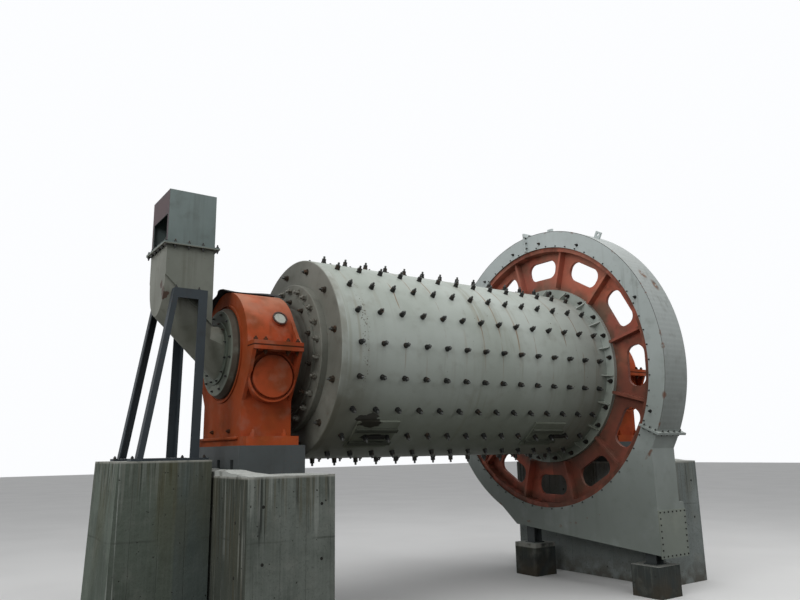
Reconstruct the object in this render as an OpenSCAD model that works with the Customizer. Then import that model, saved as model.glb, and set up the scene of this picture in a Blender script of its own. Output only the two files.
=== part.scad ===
/* [Mill line] */
// Height of the mill's axis above the ground
axis_h = 2500; // [2300:10:2800]
// From the feed bearing's centre to the feed head's outer face
feed_head_gap = 490; // [460:5:560]
// From the feed head's outer face to the girth gear's web
drum_l = 3635; // [3400:10:3640]
// From the discharge head's outer face to the discharge bearing's centre
discharge_head_gap = 710; // [680:5:760]

/* [Drum] */
// Outer radius of the shell
shell_r = 1000; // [960:5:1030]
// Thickness of the shell plate
shell_wall = 25; // [16:1:40]
// Thickness of each drum head
head_t = 65; // [45:1:90]
// Chamfer on the feed head's rim
head_chamfer = 8; // [2:1:15]
// How far the shell's bolting flange at the gear end stands out
flange_h = 109; // [95:1:120]
// Thickness of that flange
flange_t = 45; // [30:1:60]
// Number of triangular gussets behind the flange
gusset_count = 20; // [8:1:30]
// Length of a gusset along the shell
gusset_l = 95; // [60:5:140]
// Thickness of a gusset
gusset_t = 14; // [8:1:25]

/* [Manholes] */
// Place of a manhole round the shell, from the top towards the near side
manhole_angle = 141; // [120:1:150]
// Feed manhole, from the feed head's outer face
manhole_feed_x = 540; // [450:10:700]
// Distance between the two manholes
manhole_spacing = 2300; // [1800:10:2350]
// Length of a manhole along the shell
manhole_l = 400; // [300:10:450]
// Width of a manhole across the shell
manhole_w = 300; // [250:10:320]
// How far the cover's frame reaches past the hole
manhole_lap = 35; // [20:1:50]
// Thickness of a manhole cover above the shell
manhole_cover_t = 22; // [12:1:35]
// Height of the two clamp bars on a manhole
clamp_bar_h = 45; // [30:1:60]

/* [Trunnions] */
// Radius of the journals
journal_r = 400; // [380:5:420]
// Radius of the bore through each trunnion
trunnion_bore_r = 300; // [260:5:320]
// How much wider than that the opening in each drum head is
head_bore_step = 20; // [5:1:30]
// Radius of the trunnion's bolting flange
trunnion_flange_r = 740; // [700:5:780]
// Thickness of the trunnion's bolting flange
trunnion_flange_t = 70; // [50:1:80]
// Radius of the raised boss on the trunnion flange
trunnion_boss_r = 610; // [580:5:640]
// Height of that boss
trunnion_boss_t = 22; // [10:1:30]
// Radius of the neck where it leaves the boss
neck_r = 500; // [460:5:540]
// Radius of the flared mouth inside each trunnion's outer end
mouth_r = 345; // [330:5:365]

/* [Girth gear] */
// Number of teeth
tooth_count = 174; // [150:2:178]
// Module, which sets the size of a tooth
tooth_module = 20; // [18:1:20]
// Width of the toothed rim along the axis
gear_w = 290; // [240:5:300]
// Thickness of the rim under the teeth
rim_t = 115; // [90:5:140]
// How far the web reaches in under the shell's end
web_lap = 45; // [35:5:60]
// Thickness of the web
web_t = 40; // [25:1:55]
// Number of openings, and of ribs, round the web
gear_holes = 12; // [6:1:14]
// From the shell's bolting flange out to an opening in the web
hole_margin_in = 156; // [120:2:170]
// From an opening in the web out to the rim
hole_margin_out = 95; // [80:5:110]
// Half the angle that an opening covers
hole_half_angle = 9.6; // [6:0.2:10]
// Radius of an opening's rounded corners
hole_corner_r = 104; // [40:2:108]
// Thickness of a rib
rib_t = 32; // [20:1:45]

/* [Gear guard] */
// Gap between the teeth and the guard's band
guard_gap = 93; // [70:1:120]
// Width of the guard's side plates round their opening
guard_plate_w = 210; // [185:5:225]
// Width of the guard along the axis
guard_w = 390; // [380:5:420]
// From the guard's front plate to the gear's web
guard_lead = 150; // [145:1:160]
// Thickness of the guard's sheets
guard_t = 10; // [6:1:12]
// Angle of the side joints, from the top to either side
guard_split = 115; // [105:1:118]
// Angle of the joint between the two crown segments, towards the far side
guard_top_joint = 3; // [0:1:20]
// Height of the bolting flanges at the joints
joint_h = 50; // [35:1:70]
// Thickness of each of those flanges
joint_t = 12; // [8:1:16]
// How far the near upright face lies inside the guard's round
sump_inset = 263; // [210:1:300]
// How far the guard's near lower corner drops below the round
sump_near_drop = 197; // [150:1:260]
// Distance of the lower far corner from the mill's middle plane
guard_far_y = 550; // [450:10:650]
// How far that far corner drops below the round
sump_far_drop = 22; // [10:1:60]
// How far the pinion housing stands out behind the guard
pinion_box_d = 80; // [60:5:110]
// Height of the pinion housing and of its inspection panel
panel_h = 490; // [400:10:520]
// Thickness of the inspection panel
panel_t = 14; // [8:1:25]
// Angles of the two lifting lugs, from the top towards the near side
lug_angles = [5, 30];
// Height of a lifting lug
lug_h = 85; // [60:5:110]

/* [Bearings] */
// Radial running clearance of a journal in its bearing
journal_fit = 0.05; // [0.02:0.01:0.09]
// Width of a bearing housing along the axis
housing_w = 480; // [420:10:500]
// Radius of the bearing cap and of the round housing under the split
cap_r = 590; // [560:5:620]
// Half the length of the bearing's pedestal across the axis
base_half = 490; // [450:5:520]
// Height of the split flanges, each half
ear_t = 40; // [30:1:50]
// Reach of the split flanges from the axis
ear_half = 740; // [720:5:780]
// From the axis down to the base's underside
base_drop = 870; // [820:10:900]
// Thickness of the bearing base's foot
foot_t = 80; // [60:5:100]
// Half the length of the foot across the axis
foot_half = 610; // [580:5:640]
// How far the foot stands out beyond the pedestal along the axis
foot_lip = 22; // [10:1:40]
// Thickness of the ribs under the split flanges
haunch_t = 34; // [20:1:50]
// Drop from the axis to the bottom of those ribs
haunch_drop = 470; // [420:10:520]
// Radius of the round cover on each side of a bearing base
side_cover_r = 190; // [150:5:205]
// Thickness of that round cover
side_cover_t = 14; // [8:1:25]
// From the axis down to the round cover's middle
side_cover_drop = 262; // [240:2:280]
// Radius of the inspection port on a bearing cap
port_r = 75; // [60:5:90]
// Angle of the inspection port, from the top towards the near side
port_angle = 62; // [50:1:64]
// Offset of the port from the bearing's centre, towards the drum
port_offset = 90; // [40:5:120]
// Outer radius of the grey seal ring
seal_r = 430; // [425:1:436]
// Radius of the opening in the feed end's seal ring
seal_open_r = 270; // [262:1:290]
// Radius of the opening in the discharge end's seal ring
discharge_seal_open_r = 335; // [310:1:345]
// Thickness of the seal ring
seal_t = 70; // [50:1:90]
// How far the ridge round the seal ring stands out of the housing
ridge_h = 14; // [8:1:20]
// Thickness of the rubber mat on the feed bearing's cap
mat_t = 6; // [4:1:10]

/* [Piers and pedestal] */
// From the axis down to the top of the piers
pier_drop = 1120; // [1090:10:1180]
// Half the length of a pier across the axis
pier_half = 1180; // [1100:10:1300]
// Reach of a pier from the bearing's centre, away from the drum
pier_out = 445; // [400:5:450]
// Reach of a pier from the bearing's centre, towards the drum
pier_in = 330; // [320:5:400]
// Half the width of a sole plate along the axis
sole_half = 310; // [290:5:320]
// Half the length of a sole plate across the axis
sole_len_half = 650; // [630:5:700]
// Bevel on the upright edges of the concrete
concrete_bevel = 14; // [5:1:25]
// Gap between the chute's pedestal and the feed pier
pedestal_gap = 25; // [10:5:60]
// Length of the chute's pedestal along the axis
pedestal_l = 765; // [700:5:950]
// Half the width of the chute's pedestal
pedestal_half = 440; // [400:10:760]
// How far the pedestal's outer face leans out at its foot
pedestal_batter = 50; // [20:5:90]
// From the axis down to the pedestal's top
pedestal_drop = 985; // [960:5:1050]
// Side of a footing block under the guard
footing_side = 370; // [340:10:390]
// From the guard's near upright face in to the near footing's middle
footing_near_inset = 235; // [220:5:260]
// From the guard's lower far corner in to the far footing's middle
footing_far_inset = 110; // [90:5:150]
// Height of the near leg at its middle
near_leg_h = 139; // [110:1:170]
// Height of the far leg at its middle
far_leg_h = 221; // [190:1:260]
// Width of the short steel legs on the footings
leg_w = 130; // [100:5:160]
// Thickness of the legs' web, flanges and foot plates
leg_t = 10; // [6:1:16]

/* [Feed chute] */
// Length of the chute box along the axis
chute_l = 440; // [400:5:460]
// Half the width of the chute box and of its sloping leg
chute_half = 262; // [240:1:270]
// Thickness of the chute's plates
chute_t = 8; // [5:1:12]
// From the chute's bolting flange down to the frames' top
chute_above_frame = 420; // [380:10:480]
// Height of the chute's bolting flange above the axis
chute_flange_h = 935; // [900:5:960]
// Width of the chute's bolting flanges
chute_flange_w = 38; // [25:1:50]
// Thickness of each bolting flange
chute_flange_t = 10; // [6:1:16]
// Height of the head box above its flange
head_box_h = 520; // [460:10:560]
// Height of the inlet in the head box's end
inlet_h = 250; // [200:10:300]
// Slope of the chute's lower leg below level
chute_slope = 44; // [42:1:46]
// Radius of the short round neck between the chute and its end plate
chute_neck_r = 250; // [245:1:254]
// Outer radius of the nozzle that reaches into the trunnion
nozzle_r = 240; // [220:5:250]
// How far the nozzle reaches into the trunnion's mouth
nozzle_reach = 110; // [60:5:160]
// Thickness of the chute's round end plate
end_plate_t = 14; // [8:1:20]
// Reach of the end plate past the seal ring's opening
end_plate_lap = 28; // [20:1:40]

/* [Chute frames] */
// Width of the frames' angle bars
bar_w = 88; // [70:1:100]
// Thickness of the frames' angle bars
bar_t = 9; // [6:1:12]
// Length of a frame's top bar
frame_top_l = 345; // [300:5:360]
// Length of a frame along its foot
frame_foot_l = 560; // [500:10:600]
// From the feed bearing's centre to the frames' upright leg
frame_x = 515; // [500:5:530]
// Thickness of the base bars under the frames
base_bar_t = 20; // [12:1:30]

/* [Hidden] */

// Exact round surfaces are only drawn with this many sides in a preview
$fn = 96;
eps = 1;

// Places along the axis, from the feed bearing's centre
head_x = feed_head_gap;
web_x = head_x + drum_l;
far_head_x = web_x + web_t;
bearing_span = far_head_x + head_t + discharge_head_gap;
guard_x = web_x - guard_lead;
housing_face = housing_w / 2;
head_bore_r = trunnion_bore_r + head_bore_step;

// Gear sizes that follow from its teeth
pitch_r = tooth_count * tooth_module / 2;
tip_r = pitch_r + tooth_module;
root_r = pitch_r - 1.25 * tooth_module;
gear_x = web_x + web_t / 2 - gear_w / 2;
rim_r = root_r - rim_t;
flange_r = shell_r + flange_h;
web_r = shell_r - web_lap;
hole_r_in = flange_r + hole_margin_in;
hole_r_out = rim_r - hole_margin_out;
hole_corner = min(hole_corner_r, 0.45 * (hole_r_out - hole_r_in));

// Guard sizes that follow from the gear
guard_r = tip_r + guard_gap + guard_t;
guard_open_r = guard_r - guard_plate_w;
guard_near_y = guard_r - sump_inset;
guard_near_drop = guard_r + sump_near_drop;
guard_far_drop = guard_r + sump_far_drop;
footing_near_y = guard_near_y - footing_near_inset;
footing_far_y = guard_far_y - footing_far_inset;

// Heights above the ground
pier_top = axis_h - pier_drop;
foot_z = axis_h - base_drop;
pedestal_top = axis_h - pedestal_drop;
frame_foot_z = pedestal_top + base_bar_t;
chute_flange_z = axis_h + chute_flange_h;
frame_top_z = chute_flange_z - chute_above_frame;

// The chute's box runs from its outer end to its inner end
chute_in_x = -frame_x + 55;
chute_out_x = chute_in_x - chute_l;
seal_face = housing_face + seal_t;
plate_x = -seal_face - end_plate_t;
slope_rise = tan(chute_slope);
leg_step = 5;

// A slight gap that keeps two plates apart where one lies on the other
seat_gap = 0.3;

function mirrored(x) = bearing_span - x;

// Turns a shape drawn round its own Z axis so that it lies round the mill's axis
module along_mill(x = 0) {
    translate([x, 0, axis_h]) rotate([0, 90, 0]) children();
}

// A ring or disc round the mill's axis, from x to x + length
module disc(x, length, r) {
    along_mill(x) cylinder(r = r, h = length);
}

// A turned piece round the mill's axis; the profile's points are [radius, x]
module turned(profile) {
    along_mill() rotate_extrude() polygon(profile);
}

// Repeats a piece round the mill's axis, from an angle measured from the top towards the near side
module around(count, start = 0) {
    for (i = [0 : count - 1])
        translate([0, 0, axis_h]) rotate([start + i * 360 / count, 0, 0]) children();
}

// A flat outline drawn across the mill (y, then height), pushed along the axis
module across(x, length) {
    translate([x, 0, 0]) rotate([90, 0, 90]) linear_extrude(length) children();
}

// A flat outline drawn along the mill (x, then height), pushed from low_y towards the far side
module lengthwise(low_y, width) {
    translate([0, low_y + width, 0]) rotate([90, 0, 0]) linear_extrude(width) children();
}

// Copies a piece of the feed bearing to the discharge bearing, turned end for end
module at_discharge() {
    translate([bearing_span, 0, 0]) mirror([1, 0, 0]) children();
}

function bevelled(l, w, b) = [
    [b, 0], [l - b, 0], [l, b], [l, w - b], [l - b, w], [b, w], [0, w - b], [0, b]
];

// A block of cast concrete with its upright edges taken off
module concrete_block(low, size, b = concrete_bevel) {
    translate(low) linear_extrude(size[2]) polygon(bevelled(size[0], size[1], b));
}

// Concrete
module pier() {
    color([0.52, 0.53, 0.52])
    concrete_block([-pier_out, -pier_half, 0], [pier_out + pier_in, 2 * pier_half, pier_top]);
}

module feed_pier() {
    pier();
}

module discharge_pier() {
    at_discharge() pier();
}

// The chute's pedestal leans out at its outer face, as it was cast
module chute_pedestal() {
    near_pier = -pier_out - pedestal_gap;
    color([0.50, 0.51, 0.50])
    lengthwise(-pedestal_half, 2 * pedestal_half)
        polygon([[near_pier - pedestal_l - pedestal_batter, 0], [near_pier, 0], [near_pier, pedestal_top],
                 [near_pier - pedestal_l, pedestal_top]]);
}

module footing(y, h) {
    color([0.55, 0.56, 0.55])
    concrete_block([guard_x + guard_t, y - footing_side / 2, 0], [footing_side, footing_side, h]);
}

// Height of the lower guard's sloping underside at a place across the mill
function underside(y) =
    axis_h - guard_near_drop
    + (guard_near_drop - guard_far_drop) * (y + guard_near_y) / (guard_far_y + guard_near_y);

footing_near_h = underside(-footing_near_y) - near_leg_h;
footing_far_h = underside(footing_far_y) - far_leg_h;

module footing_near() {
    footing(-footing_near_y, footing_near_h);
}

module footing_far() {
    footing(footing_far_y, footing_far_h);
}

// Bearings
pocket_w = 70;
pocket_h = 95;
pocket_d = 60;
pocket_y = [-480, -160, 160, 480];

module sole_plate() {
    color([0.58, 0.60, 0.60])
    difference() {
        translate([-sole_half, -sole_len_half, pier_top])
            cube([2 * sole_half, 2 * sole_len_half, foot_z - pier_top]);
        for (side = [0, 1], y = pocket_y)
            mirror([side, 0, 0])
                translate([-sole_half - eps, y - pocket_w / 2, pier_top + 35])
                    cube([pocket_d + eps, pocket_w, pocket_h]);
    }
}

module feed_sole_plate() {
    sole_plate();
}

module discharge_sole_plate() {
    at_discharge() sole_plate();
}

// Half of the ear pair at the split, above it or below it
module ears(z) {
    translate([-housing_face, -ear_half, z]) cube([housing_w, 2 * ear_half, ear_t]);
}

side_groove_w = 24;
side_boss_r = side_cover_r + side_groove_w + 16;
side_boss_half = cap_r + 12;
side_groove_d = 30;
ridge_r = seal_r + 22;
ridge_w = 18;
haunch_bend = [0.845, 0.52];

// A rib under a split flange: from the pedestal out to the flange's end, with one bend
module haunch(x) {
    across(x, haunch_t)
        polygon([[0, axis_h - ear_t / 2], [0, axis_h - haunch_drop], [base_half, axis_h - haunch_drop],
                 [ear_half * haunch_bend[0], axis_h - haunch_drop * haunch_bend[1]],
                 [ear_half - 15, axis_h - ear_t / 2]]);
}

// A round cover on a boss at one side of the bearing base
module side_cover(side) {
    translate([0, 0, axis_h - side_cover_drop]) rotate([-90 * side, 0, 0]) {
        cylinder(r = side_boss_r, h = side_boss_half);
        cylinder(r = side_cover_r, h = side_boss_half + side_cover_t);
    }
}

// The groove round that cover
module side_groove(side) {
    translate([0, 0, axis_h - side_cover_drop]) rotate([-90 * side, 0, 0])
        translate([0, 0, side_boss_half - side_groove_d])
            difference() {
                cylinder(r = side_cover_r + side_groove_w, h = 2 * side_groove_d);
                translate([0, 0, -eps]) cylinder(r = side_cover_r, h = 2 * side_groove_d + 2 * eps);
            }
}

// The round ridge that stands about the seal ring on the housing's outer face
module seal_ridge() {
    difference() {
        disc(-housing_face - ridge_h, ridge_h + eps, ridge_r + ridge_w);
        disc(-housing_face - ridge_h - eps, ridge_h + 3 * eps, ridge_r);
    }
}

// Everything above the split between base and cap
module above_split() {
    translate([-housing_w, -2 * ear_half, axis_h]) cube([2 * housing_w, 4 * ear_half, 2 * cap_r]);
}

module bearing_base() {
    color([0.78, 0.36, 0.20])
    difference() {
        union() {
            intersection() {
                disc(-housing_face, housing_w, cap_r);
                translate([-housing_w, -ear_half, foot_z]) cube([2 * housing_w, 2 * ear_half, base_drop]);
            }
            translate([-housing_face, -base_half, foot_z]) cube([housing_w, 2 * base_half, haunch_drop]);
            translate([-housing_face - foot_lip, -foot_half, foot_z])
                cube([housing_w + 2 * foot_lip, 2 * foot_half, foot_t]);
            ears(axis_h - ear_t);
            for (side = [0, 1], x = [-housing_face, housing_face - haunch_t])
                mirror([0, side, 0]) haunch(x);
            for (side = [-1, 1])
                side_cover(side);
            difference() {
                seal_ridge();
                above_split();
            }
        }
        for (side = [-1, 1])
            side_groove(side);
        disc(-housing_face - eps, housing_w + 2 * eps, journal_r + journal_fit);
    }
}

module feed_bearing_base() {
    bearing_base();
}

module discharge_bearing_base() {
    at_discharge() bearing_base();
}

port_lip = 16;

// A rib over a split flange, on the drum's side of the cap
module cap_rib() {
    across(housing_face - haunch_t, haunch_t)
        polygon([[0, axis_h + ear_t / 2], [0, axis_h + cap_r / 2], [cap_r * 0.85, axis_h + cap_r * 0.52],
                 [cap_r * 1.12, axis_h + 2 * ear_t], [ear_half - 15, axis_h + ear_t / 2]]);
}

module bearing_cap() {
    color([0.80, 0.38, 0.21])
    difference() {
        union() {
            disc(-housing_face, housing_w, cap_r);
            ears(axis_h);
            for (side = [0, 1])
                mirror([0, side, 0]) cap_rib();
            translate([port_offset, 0, axis_h]) rotate([port_angle, 0, 0])
                cylinder(r = port_r, h = cap_r + port_lip);
            seal_ridge();
        }
        translate([-housing_w, -2 * ear_half, axis_h - 2 * cap_r])
            cube([2 * housing_w, 4 * ear_half, 2 * cap_r]);
        disc(-housing_face - eps, housing_w + 2 * eps, journal_r + journal_fit);
    }
}

module feed_bearing_cap() {
    bearing_cap();
}

module discharge_bearing_cap() {
    at_discharge() bearing_cap();
}

// The seal ring is bolted on the bearing's outer face
seal_lip = 26;
seal_chamfer = 28;

module seal_ring(open_r) {
    color([0.62, 0.64, 0.62])
    turned([[open_r, -housing_face], [seal_r, -housing_face], [seal_r, -housing_face - seal_lip],
            [seal_r - seal_chamfer, -seal_face], [open_r, -seal_face]]);
}

module feed_seal_ring() {
    seal_ring(seal_open_r);
}

module discharge_seal_ring() {
    at_discharge() seal_ring(discharge_seal_open_r);
}

mat_far_angle = 40;
mat_near_angle = 14;
mat_overhang = 45;

// The rubber mat lies on the crown of the feed bearing's cap
module bearing_mat() {
    color([0.08, 0.08, 0.09])
    along_mill() rotate([0, 0, 180 - mat_far_angle])
        rotate_extrude(angle = mat_far_angle + mat_near_angle)
            translate([cap_r + seat_gap, -housing_face - mat_overhang]) square([mat_t, housing_w + 2 * mat_overhang]);
}

// Drum
module feed_head() {
    color([0.62, 0.62, 0.58])
    turned([[head_bore_r, head_x], [shell_r - head_chamfer, head_x], [shell_r, head_x + head_chamfer],
            [shell_r, head_x + head_t], [head_bore_r, head_x + head_t]]);
}

module discharge_head() {
    color([0.62, 0.62, 0.58])
    turned([[head_bore_r, far_head_x], [flange_r, far_head_x], [flange_r, far_head_x + head_t - head_chamfer],
            [flange_r - head_chamfer, far_head_x + head_t], [head_bore_r, far_head_x + head_t]]);
}

// A block that reaches out through the shell at a manhole
module manhole_block(x, grow, r_from, r_to) {
    translate([head_x + x, 0, axis_h]) rotate([manhole_angle, 0, 0])
        translate([-manhole_l / 2 - grow, -manhole_w / 2 - grow, r_from])
            cube([manhole_l + 2 * grow, manhole_w + 2 * grow, r_to - r_from]);
}

manhole_places = [manhole_feed_x, manhole_feed_x + manhole_spacing];

module mill_shell() {
    color([0.74, 0.75, 0.70])
    difference() {
        disc(head_x + head_t, web_x - head_x - head_t, shell_r);
        disc(head_x + head_t - eps, web_x - head_x - head_t + 2 * eps, shell_r - shell_wall);
        for (x = manhole_places)
            manhole_block(x, 0, shell_r / 2, shell_r + eps);
    }
}

module shell_flange() {
    color([0.70, 0.71, 0.67])
    difference() {
        union() {
            disc(web_x - flange_t, flange_t, flange_r);
            around(gusset_count, 24.25)
                rotate([90, 0, 0]) translate([0, 0, -gusset_t / 2]) linear_extrude(gusset_t)
                    polygon([[web_x - flange_t - gusset_l, shell_r - 20], [web_x - flange_t + eps, shell_r - 20],
                             [web_x - flange_t + eps, flange_r - 12],
                             [web_x - flange_t - 12, flange_r - 12],
                             [web_x - flange_t - gusset_l, shell_r + 14]]);
        }
        disc(web_x - 2 * gusset_l - flange_t, 2 * gusset_l + flange_t + eps, shell_r);
    }
}

// A manhole's cover: a curved plate over the hole, a plug inside it and two clamp bars across
plug_gap = 3;
bar_pair = 0.30;
clamp_bar_w = 40;
bar_sink = 5;

module manhole_cover(x) {
    bar_l = manhole_l + 2 * manhole_lap;
    color([0.30, 0.31, 0.30]) {
        difference() {
            union() {
                intersection() {
                    manhole_block(x, manhole_lap, shell_r / 2, shell_r + 3 * manhole_cover_t);
                    disc(0, bearing_span, shell_r + manhole_cover_t);
                }
                for (side = [-1, 1])
                    translate([head_x + x, 0, axis_h]) rotate([manhole_angle, 0, 0])
                        translate([-bar_l / 2, side * manhole_w * bar_pair - clamp_bar_w / 2, shell_r - bar_sink])
                            cube([bar_l, clamp_bar_w, clamp_bar_h + bar_sink]);
            }
            disc(0, bearing_span, shell_r + seat_gap);
        }
        difference() {
            manhole_block(x, -plug_gap, shell_r / 2, shell_r + 1);
            disc(0, bearing_span, shell_r - shell_wall + 2);
        }
    }
}

module manhole_cover_feed() {
    manhole_cover(manhole_places[0]);
}

module manhole_cover_discharge() {
    manhole_cover(manhole_places[1]);
}

// A trunnion: flange, boss and neck on the drum's head, then the journal in its bearing.
// face is the head's outer face, measured from the bearing's centre.
module trunnion(face) {
    journal_end = housing_face + 25;
    boss_x = face - trunnion_flange_t - trunnion_boss_t;
    mouth_x = -housing_face + 8;
    color([0.60, 0.60, 0.56])
    turned([[mouth_r, mouth_x], [journal_r, mouth_x], [journal_r, journal_end],
            [journal_r + 12, journal_end + 20], [neck_r - 40, boss_x - 30], [neck_r, boss_x],
            [trunnion_boss_r, boss_x], [trunnion_boss_r, boss_x + trunnion_boss_t],
            [trunnion_flange_r - 6, boss_x + trunnion_boss_t], [trunnion_flange_r, boss_x + trunnion_boss_t + 6],
            [trunnion_flange_r, face], [trunnion_bore_r, face],
            [trunnion_bore_r, mouth_x + 90]]);
}

module feed_trunnion() {
    trunnion(head_x);
}

module discharge_trunnion() {
    at_discharge() trunnion(mirrored(far_head_x + head_t));
}

// Girth gear
// Straight-sided teeth on one closed outline, four points to a tooth
tooth_step = 360 / tooth_count;

function tooth_point(i, share, r) = [r * cos((i + share) * tooth_step), r * sin((i + share) * tooth_step)];

gear_outline = [
    for (i = [0 : tooth_count - 1]) each [
        tooth_point(i, -0.36, root_r), tooth_point(i, -0.17, tip_r),
        tooth_point(i, 0.17, tip_r), tooth_point(i, 0.36, root_r)
    ]
];

// Half the chord of an opening at a radius, inside its corner circles
function hole_reach(r) = r * tan(hole_half_angle) - hole_corner;

// Corner centres of an opening with its middle at the top, in turn round it
hole_low = hole_r_in + hole_corner;
hole_high = hole_r_out - hole_corner;
hole_corners = [
    [-hole_reach(hole_low), hole_low], [hole_reach(hole_low), hole_low],
    [hole_reach(hole_high), hole_high], [-hole_reach(hole_high), hole_high]
];

// The outward step, as long as a corner's radius, from the side between two corners
function side_step(a, b) = hole_corner * [b[1] - a[1], a[0] - b[0]] / norm(b - a);

// The straight sides of an opening, each running from one corner circle to the next
hole_sides = [
    for (i = [0 : 3]) each [
        hole_corners[i] + side_step(hole_corners[i], hole_corners[(i + 1) % 4]),
        hole_corners[(i + 1) % 4] + side_step(hole_corners[i], hole_corners[(i + 1) % 4])
    ]
];

// An opening in the web: a wedge with round corners
module web_opening() {
    rotate([90, 0, 90]) translate([0, 0, web_x - 3 * web_t]) {
        linear_extrude(7 * web_t) polygon(hole_sides);
        for (c = hole_corners)
            translate([c[0], c[1], 0]) cylinder(r = hole_corner, h = 7 * web_t);
    }
}

// A rib of the gear, standing on one face of the web from the boss ring to the rim
module gear_rib(from_x, to_x) {
    rotate([90, 0, 0]) translate([0, 0, -rib_t / 2]) linear_extrude(rib_t)
        polygon([[from_x, flange_r + 25], [to_x, flange_r + 25], [to_x, rim_r + 10], [from_x, rim_r + 10]]);
}

rib_front_x = gear_x + 30;
rib_back_x = gear_x + gear_w - 30;
boss_ring_t = 22;

module girth_gear() {
    color([0.72, 0.30, 0.20])
    difference() {
        union() {
            difference() {
                along_mill(gear_x) linear_extrude(gear_w) polygon(gear_outline);
                disc(gear_x - eps, gear_w + 2 * eps, rim_r);
            }
            disc(web_x, web_t, rim_r + 10);
            disc(far_head_x - eps, boss_ring_t + eps, hole_r_in - 60);
            around(gear_holes, -14) gear_rib(rib_front_x, web_x + eps);
            around(gear_holes, -14) gear_rib(far_head_x - eps, rib_back_x);
        }
        disc(web_x - eps, web_t + 2 * eps, web_r);
        disc(far_head_x, head_t + eps, flange_r + 1);
        around(gear_holes, 1) web_opening();
    }
}

// Gear guard
// The cross-section of a stretch before it is hollowed; stand makes it reach further out
function block_outline(stand) = [
    [guard_open_r / 2, -stand], [guard_r + stand, -stand],
    [guard_r + stand, guard_w + stand], [guard_open_r / 2, guard_w + stand]
];

// A stretch of that section turned about the axis; angles run from the top towards the near side
module guard_block(from_angle, to_angle, stand = 0) {
    along_mill(guard_x) rotate([0, 0, 180 + from_angle])
        rotate_extrude(angle = to_angle - from_angle) polygon(block_outline(stand));
}

// The angles that a joint flange's thickness and half the joint's gap take at the band
joint_angle = joint_t / guard_r * 180 / PI;
seam_angle = seat_gap / 2 / guard_r * 180 / PI;

// The bolting flange at one end of a stretch; past is 1 beyond the joint and -1 before it
module joint_flange(angle, past) {
    guard_block(past > 0 ? angle + seam_angle : angle - joint_angle,
                past > 0 ? angle + joint_angle : angle - seam_angle, joint_h);
}

// A stretch between two joints, with its flanges, hollowed to a channel that is open inwards
module guard_stretch(from_angle, to_angle) {
    difference() {
        union() {
            guard_block(from_angle + joint_angle / 2, to_angle - joint_angle / 2);
            joint_flange(from_angle, 1);
            joint_flange(to_angle, -1);
        }
        disc(guard_x + guard_t, guard_w - 2 * guard_t, guard_r - guard_t);
        disc(guard_x - 2 * joint_h, guard_w + 4 * joint_h, guard_open_r);
    }
}

// A lifting lug on the crown
module lifting_lug(angle) {
    translate([guard_x + guard_w / 2 - 10, 0, axis_h]) rotate([angle, 0, 0])
        difference() {
            translate([0, -45, guard_r - 8]) cube([20, 90, lug_h + 8]);
            translate([-eps, 0, guard_r + lug_h - 38]) rotate([0, 90, 0]) cylinder(r = 18, h = 22);
        }
}

module guard_crown_near() {
    color([0.72, 0.74, 0.71]) {
        guard_stretch(-guard_top_joint, guard_split);
        for (a = lug_angles)
            lifting_lug(a);
    }
}

module guard_crown_far() {
    color([0.72, 0.74, 0.71])
    guard_stretch(-guard_split, -guard_top_joint);
}

// Where the slope of the lower guard ends: its angle from straight down, and its depth inside the round
slope_end = 37;
slope_sink = 44;
corner_rise = 0.63;

// The lower guard's outline below the joints: the round, and a sump that drops to the near side
module guard_lower_outline(x, length, inset) {
    near = -guard_near_y + inset;
    near_low = axis_h - guard_near_drop + inset;
    far_low = axis_h - guard_far_drop + inset;
    disc(x, length, guard_r - inset);
    // The upright face starts inside the round; the slope's last corner lies a little inside it too
    near_top = axis_h - corner_rise * sqrt(pow(guard_r - inset, 2) - pow(near, 2));
    sunk = guard_r - inset - slope_sink;
    across(x, length)
        polygon([[near, near_top], [near, near_low], [guard_far_y, far_low],
                 [sunk * sin(slope_end), axis_h - sunk * cos(slope_end)], [0, near_top]]);
}

// Everything below the joints at both sides; the edge lies within the flanges' thickness
module below_joints(x, length) {
    reach = 3 * guard_r;
    edge = guard_split + joint_angle / 2;
    across(x, length)
        polygon([[0, axis_h], [-reach * sin(edge), axis_h + reach * cos(edge)],
                 [-reach * sin(edge), axis_h - reach], [reach * sin(edge), axis_h - reach],
                 [reach * sin(edge), axis_h + reach * cos(edge)]]);
}

// The pinion's housing stands out behind the lower near corner
pinion_box_w = 720;

module pinion_box(inset) {
    low = axis_h - guard_near_drop;
    translate([guard_x + guard_w - 2 * guard_t, -guard_near_y + inset, low + inset + 40])
        cube([pinion_box_d + 2 * guard_t - inset, pinion_box_w - 2 * inset, panel_h - 2 * inset]);
}

module guard_lower() {
    color([0.72, 0.74, 0.71])
    difference() {
        union() {
            intersection() {
                guard_lower_outline(guard_x, guard_w, 0);
                below_joints(guard_x, guard_w);
            }
            pinion_box(0);
            joint_flange(guard_split, 1);
            joint_flange(-guard_split, -1);
        }
        guard_lower_outline(guard_x + guard_t, guard_w - 2 * guard_t, guard_t);
        pinion_box(guard_t);
        disc(guard_x - 2 * joint_h, guard_w + 4 * joint_h, guard_open_r);
    }
}

// The inspection panel covers the near lower corner, as wide as the guard and the housing together
module inspection_panel() {
    color([0.70, 0.73, 0.64])
    translate([guard_x, -guard_near_y - panel_t, axis_h - guard_near_drop - 30])
        cube([guard_w + pinion_box_d, panel_t, panel_h]);
}

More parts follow.
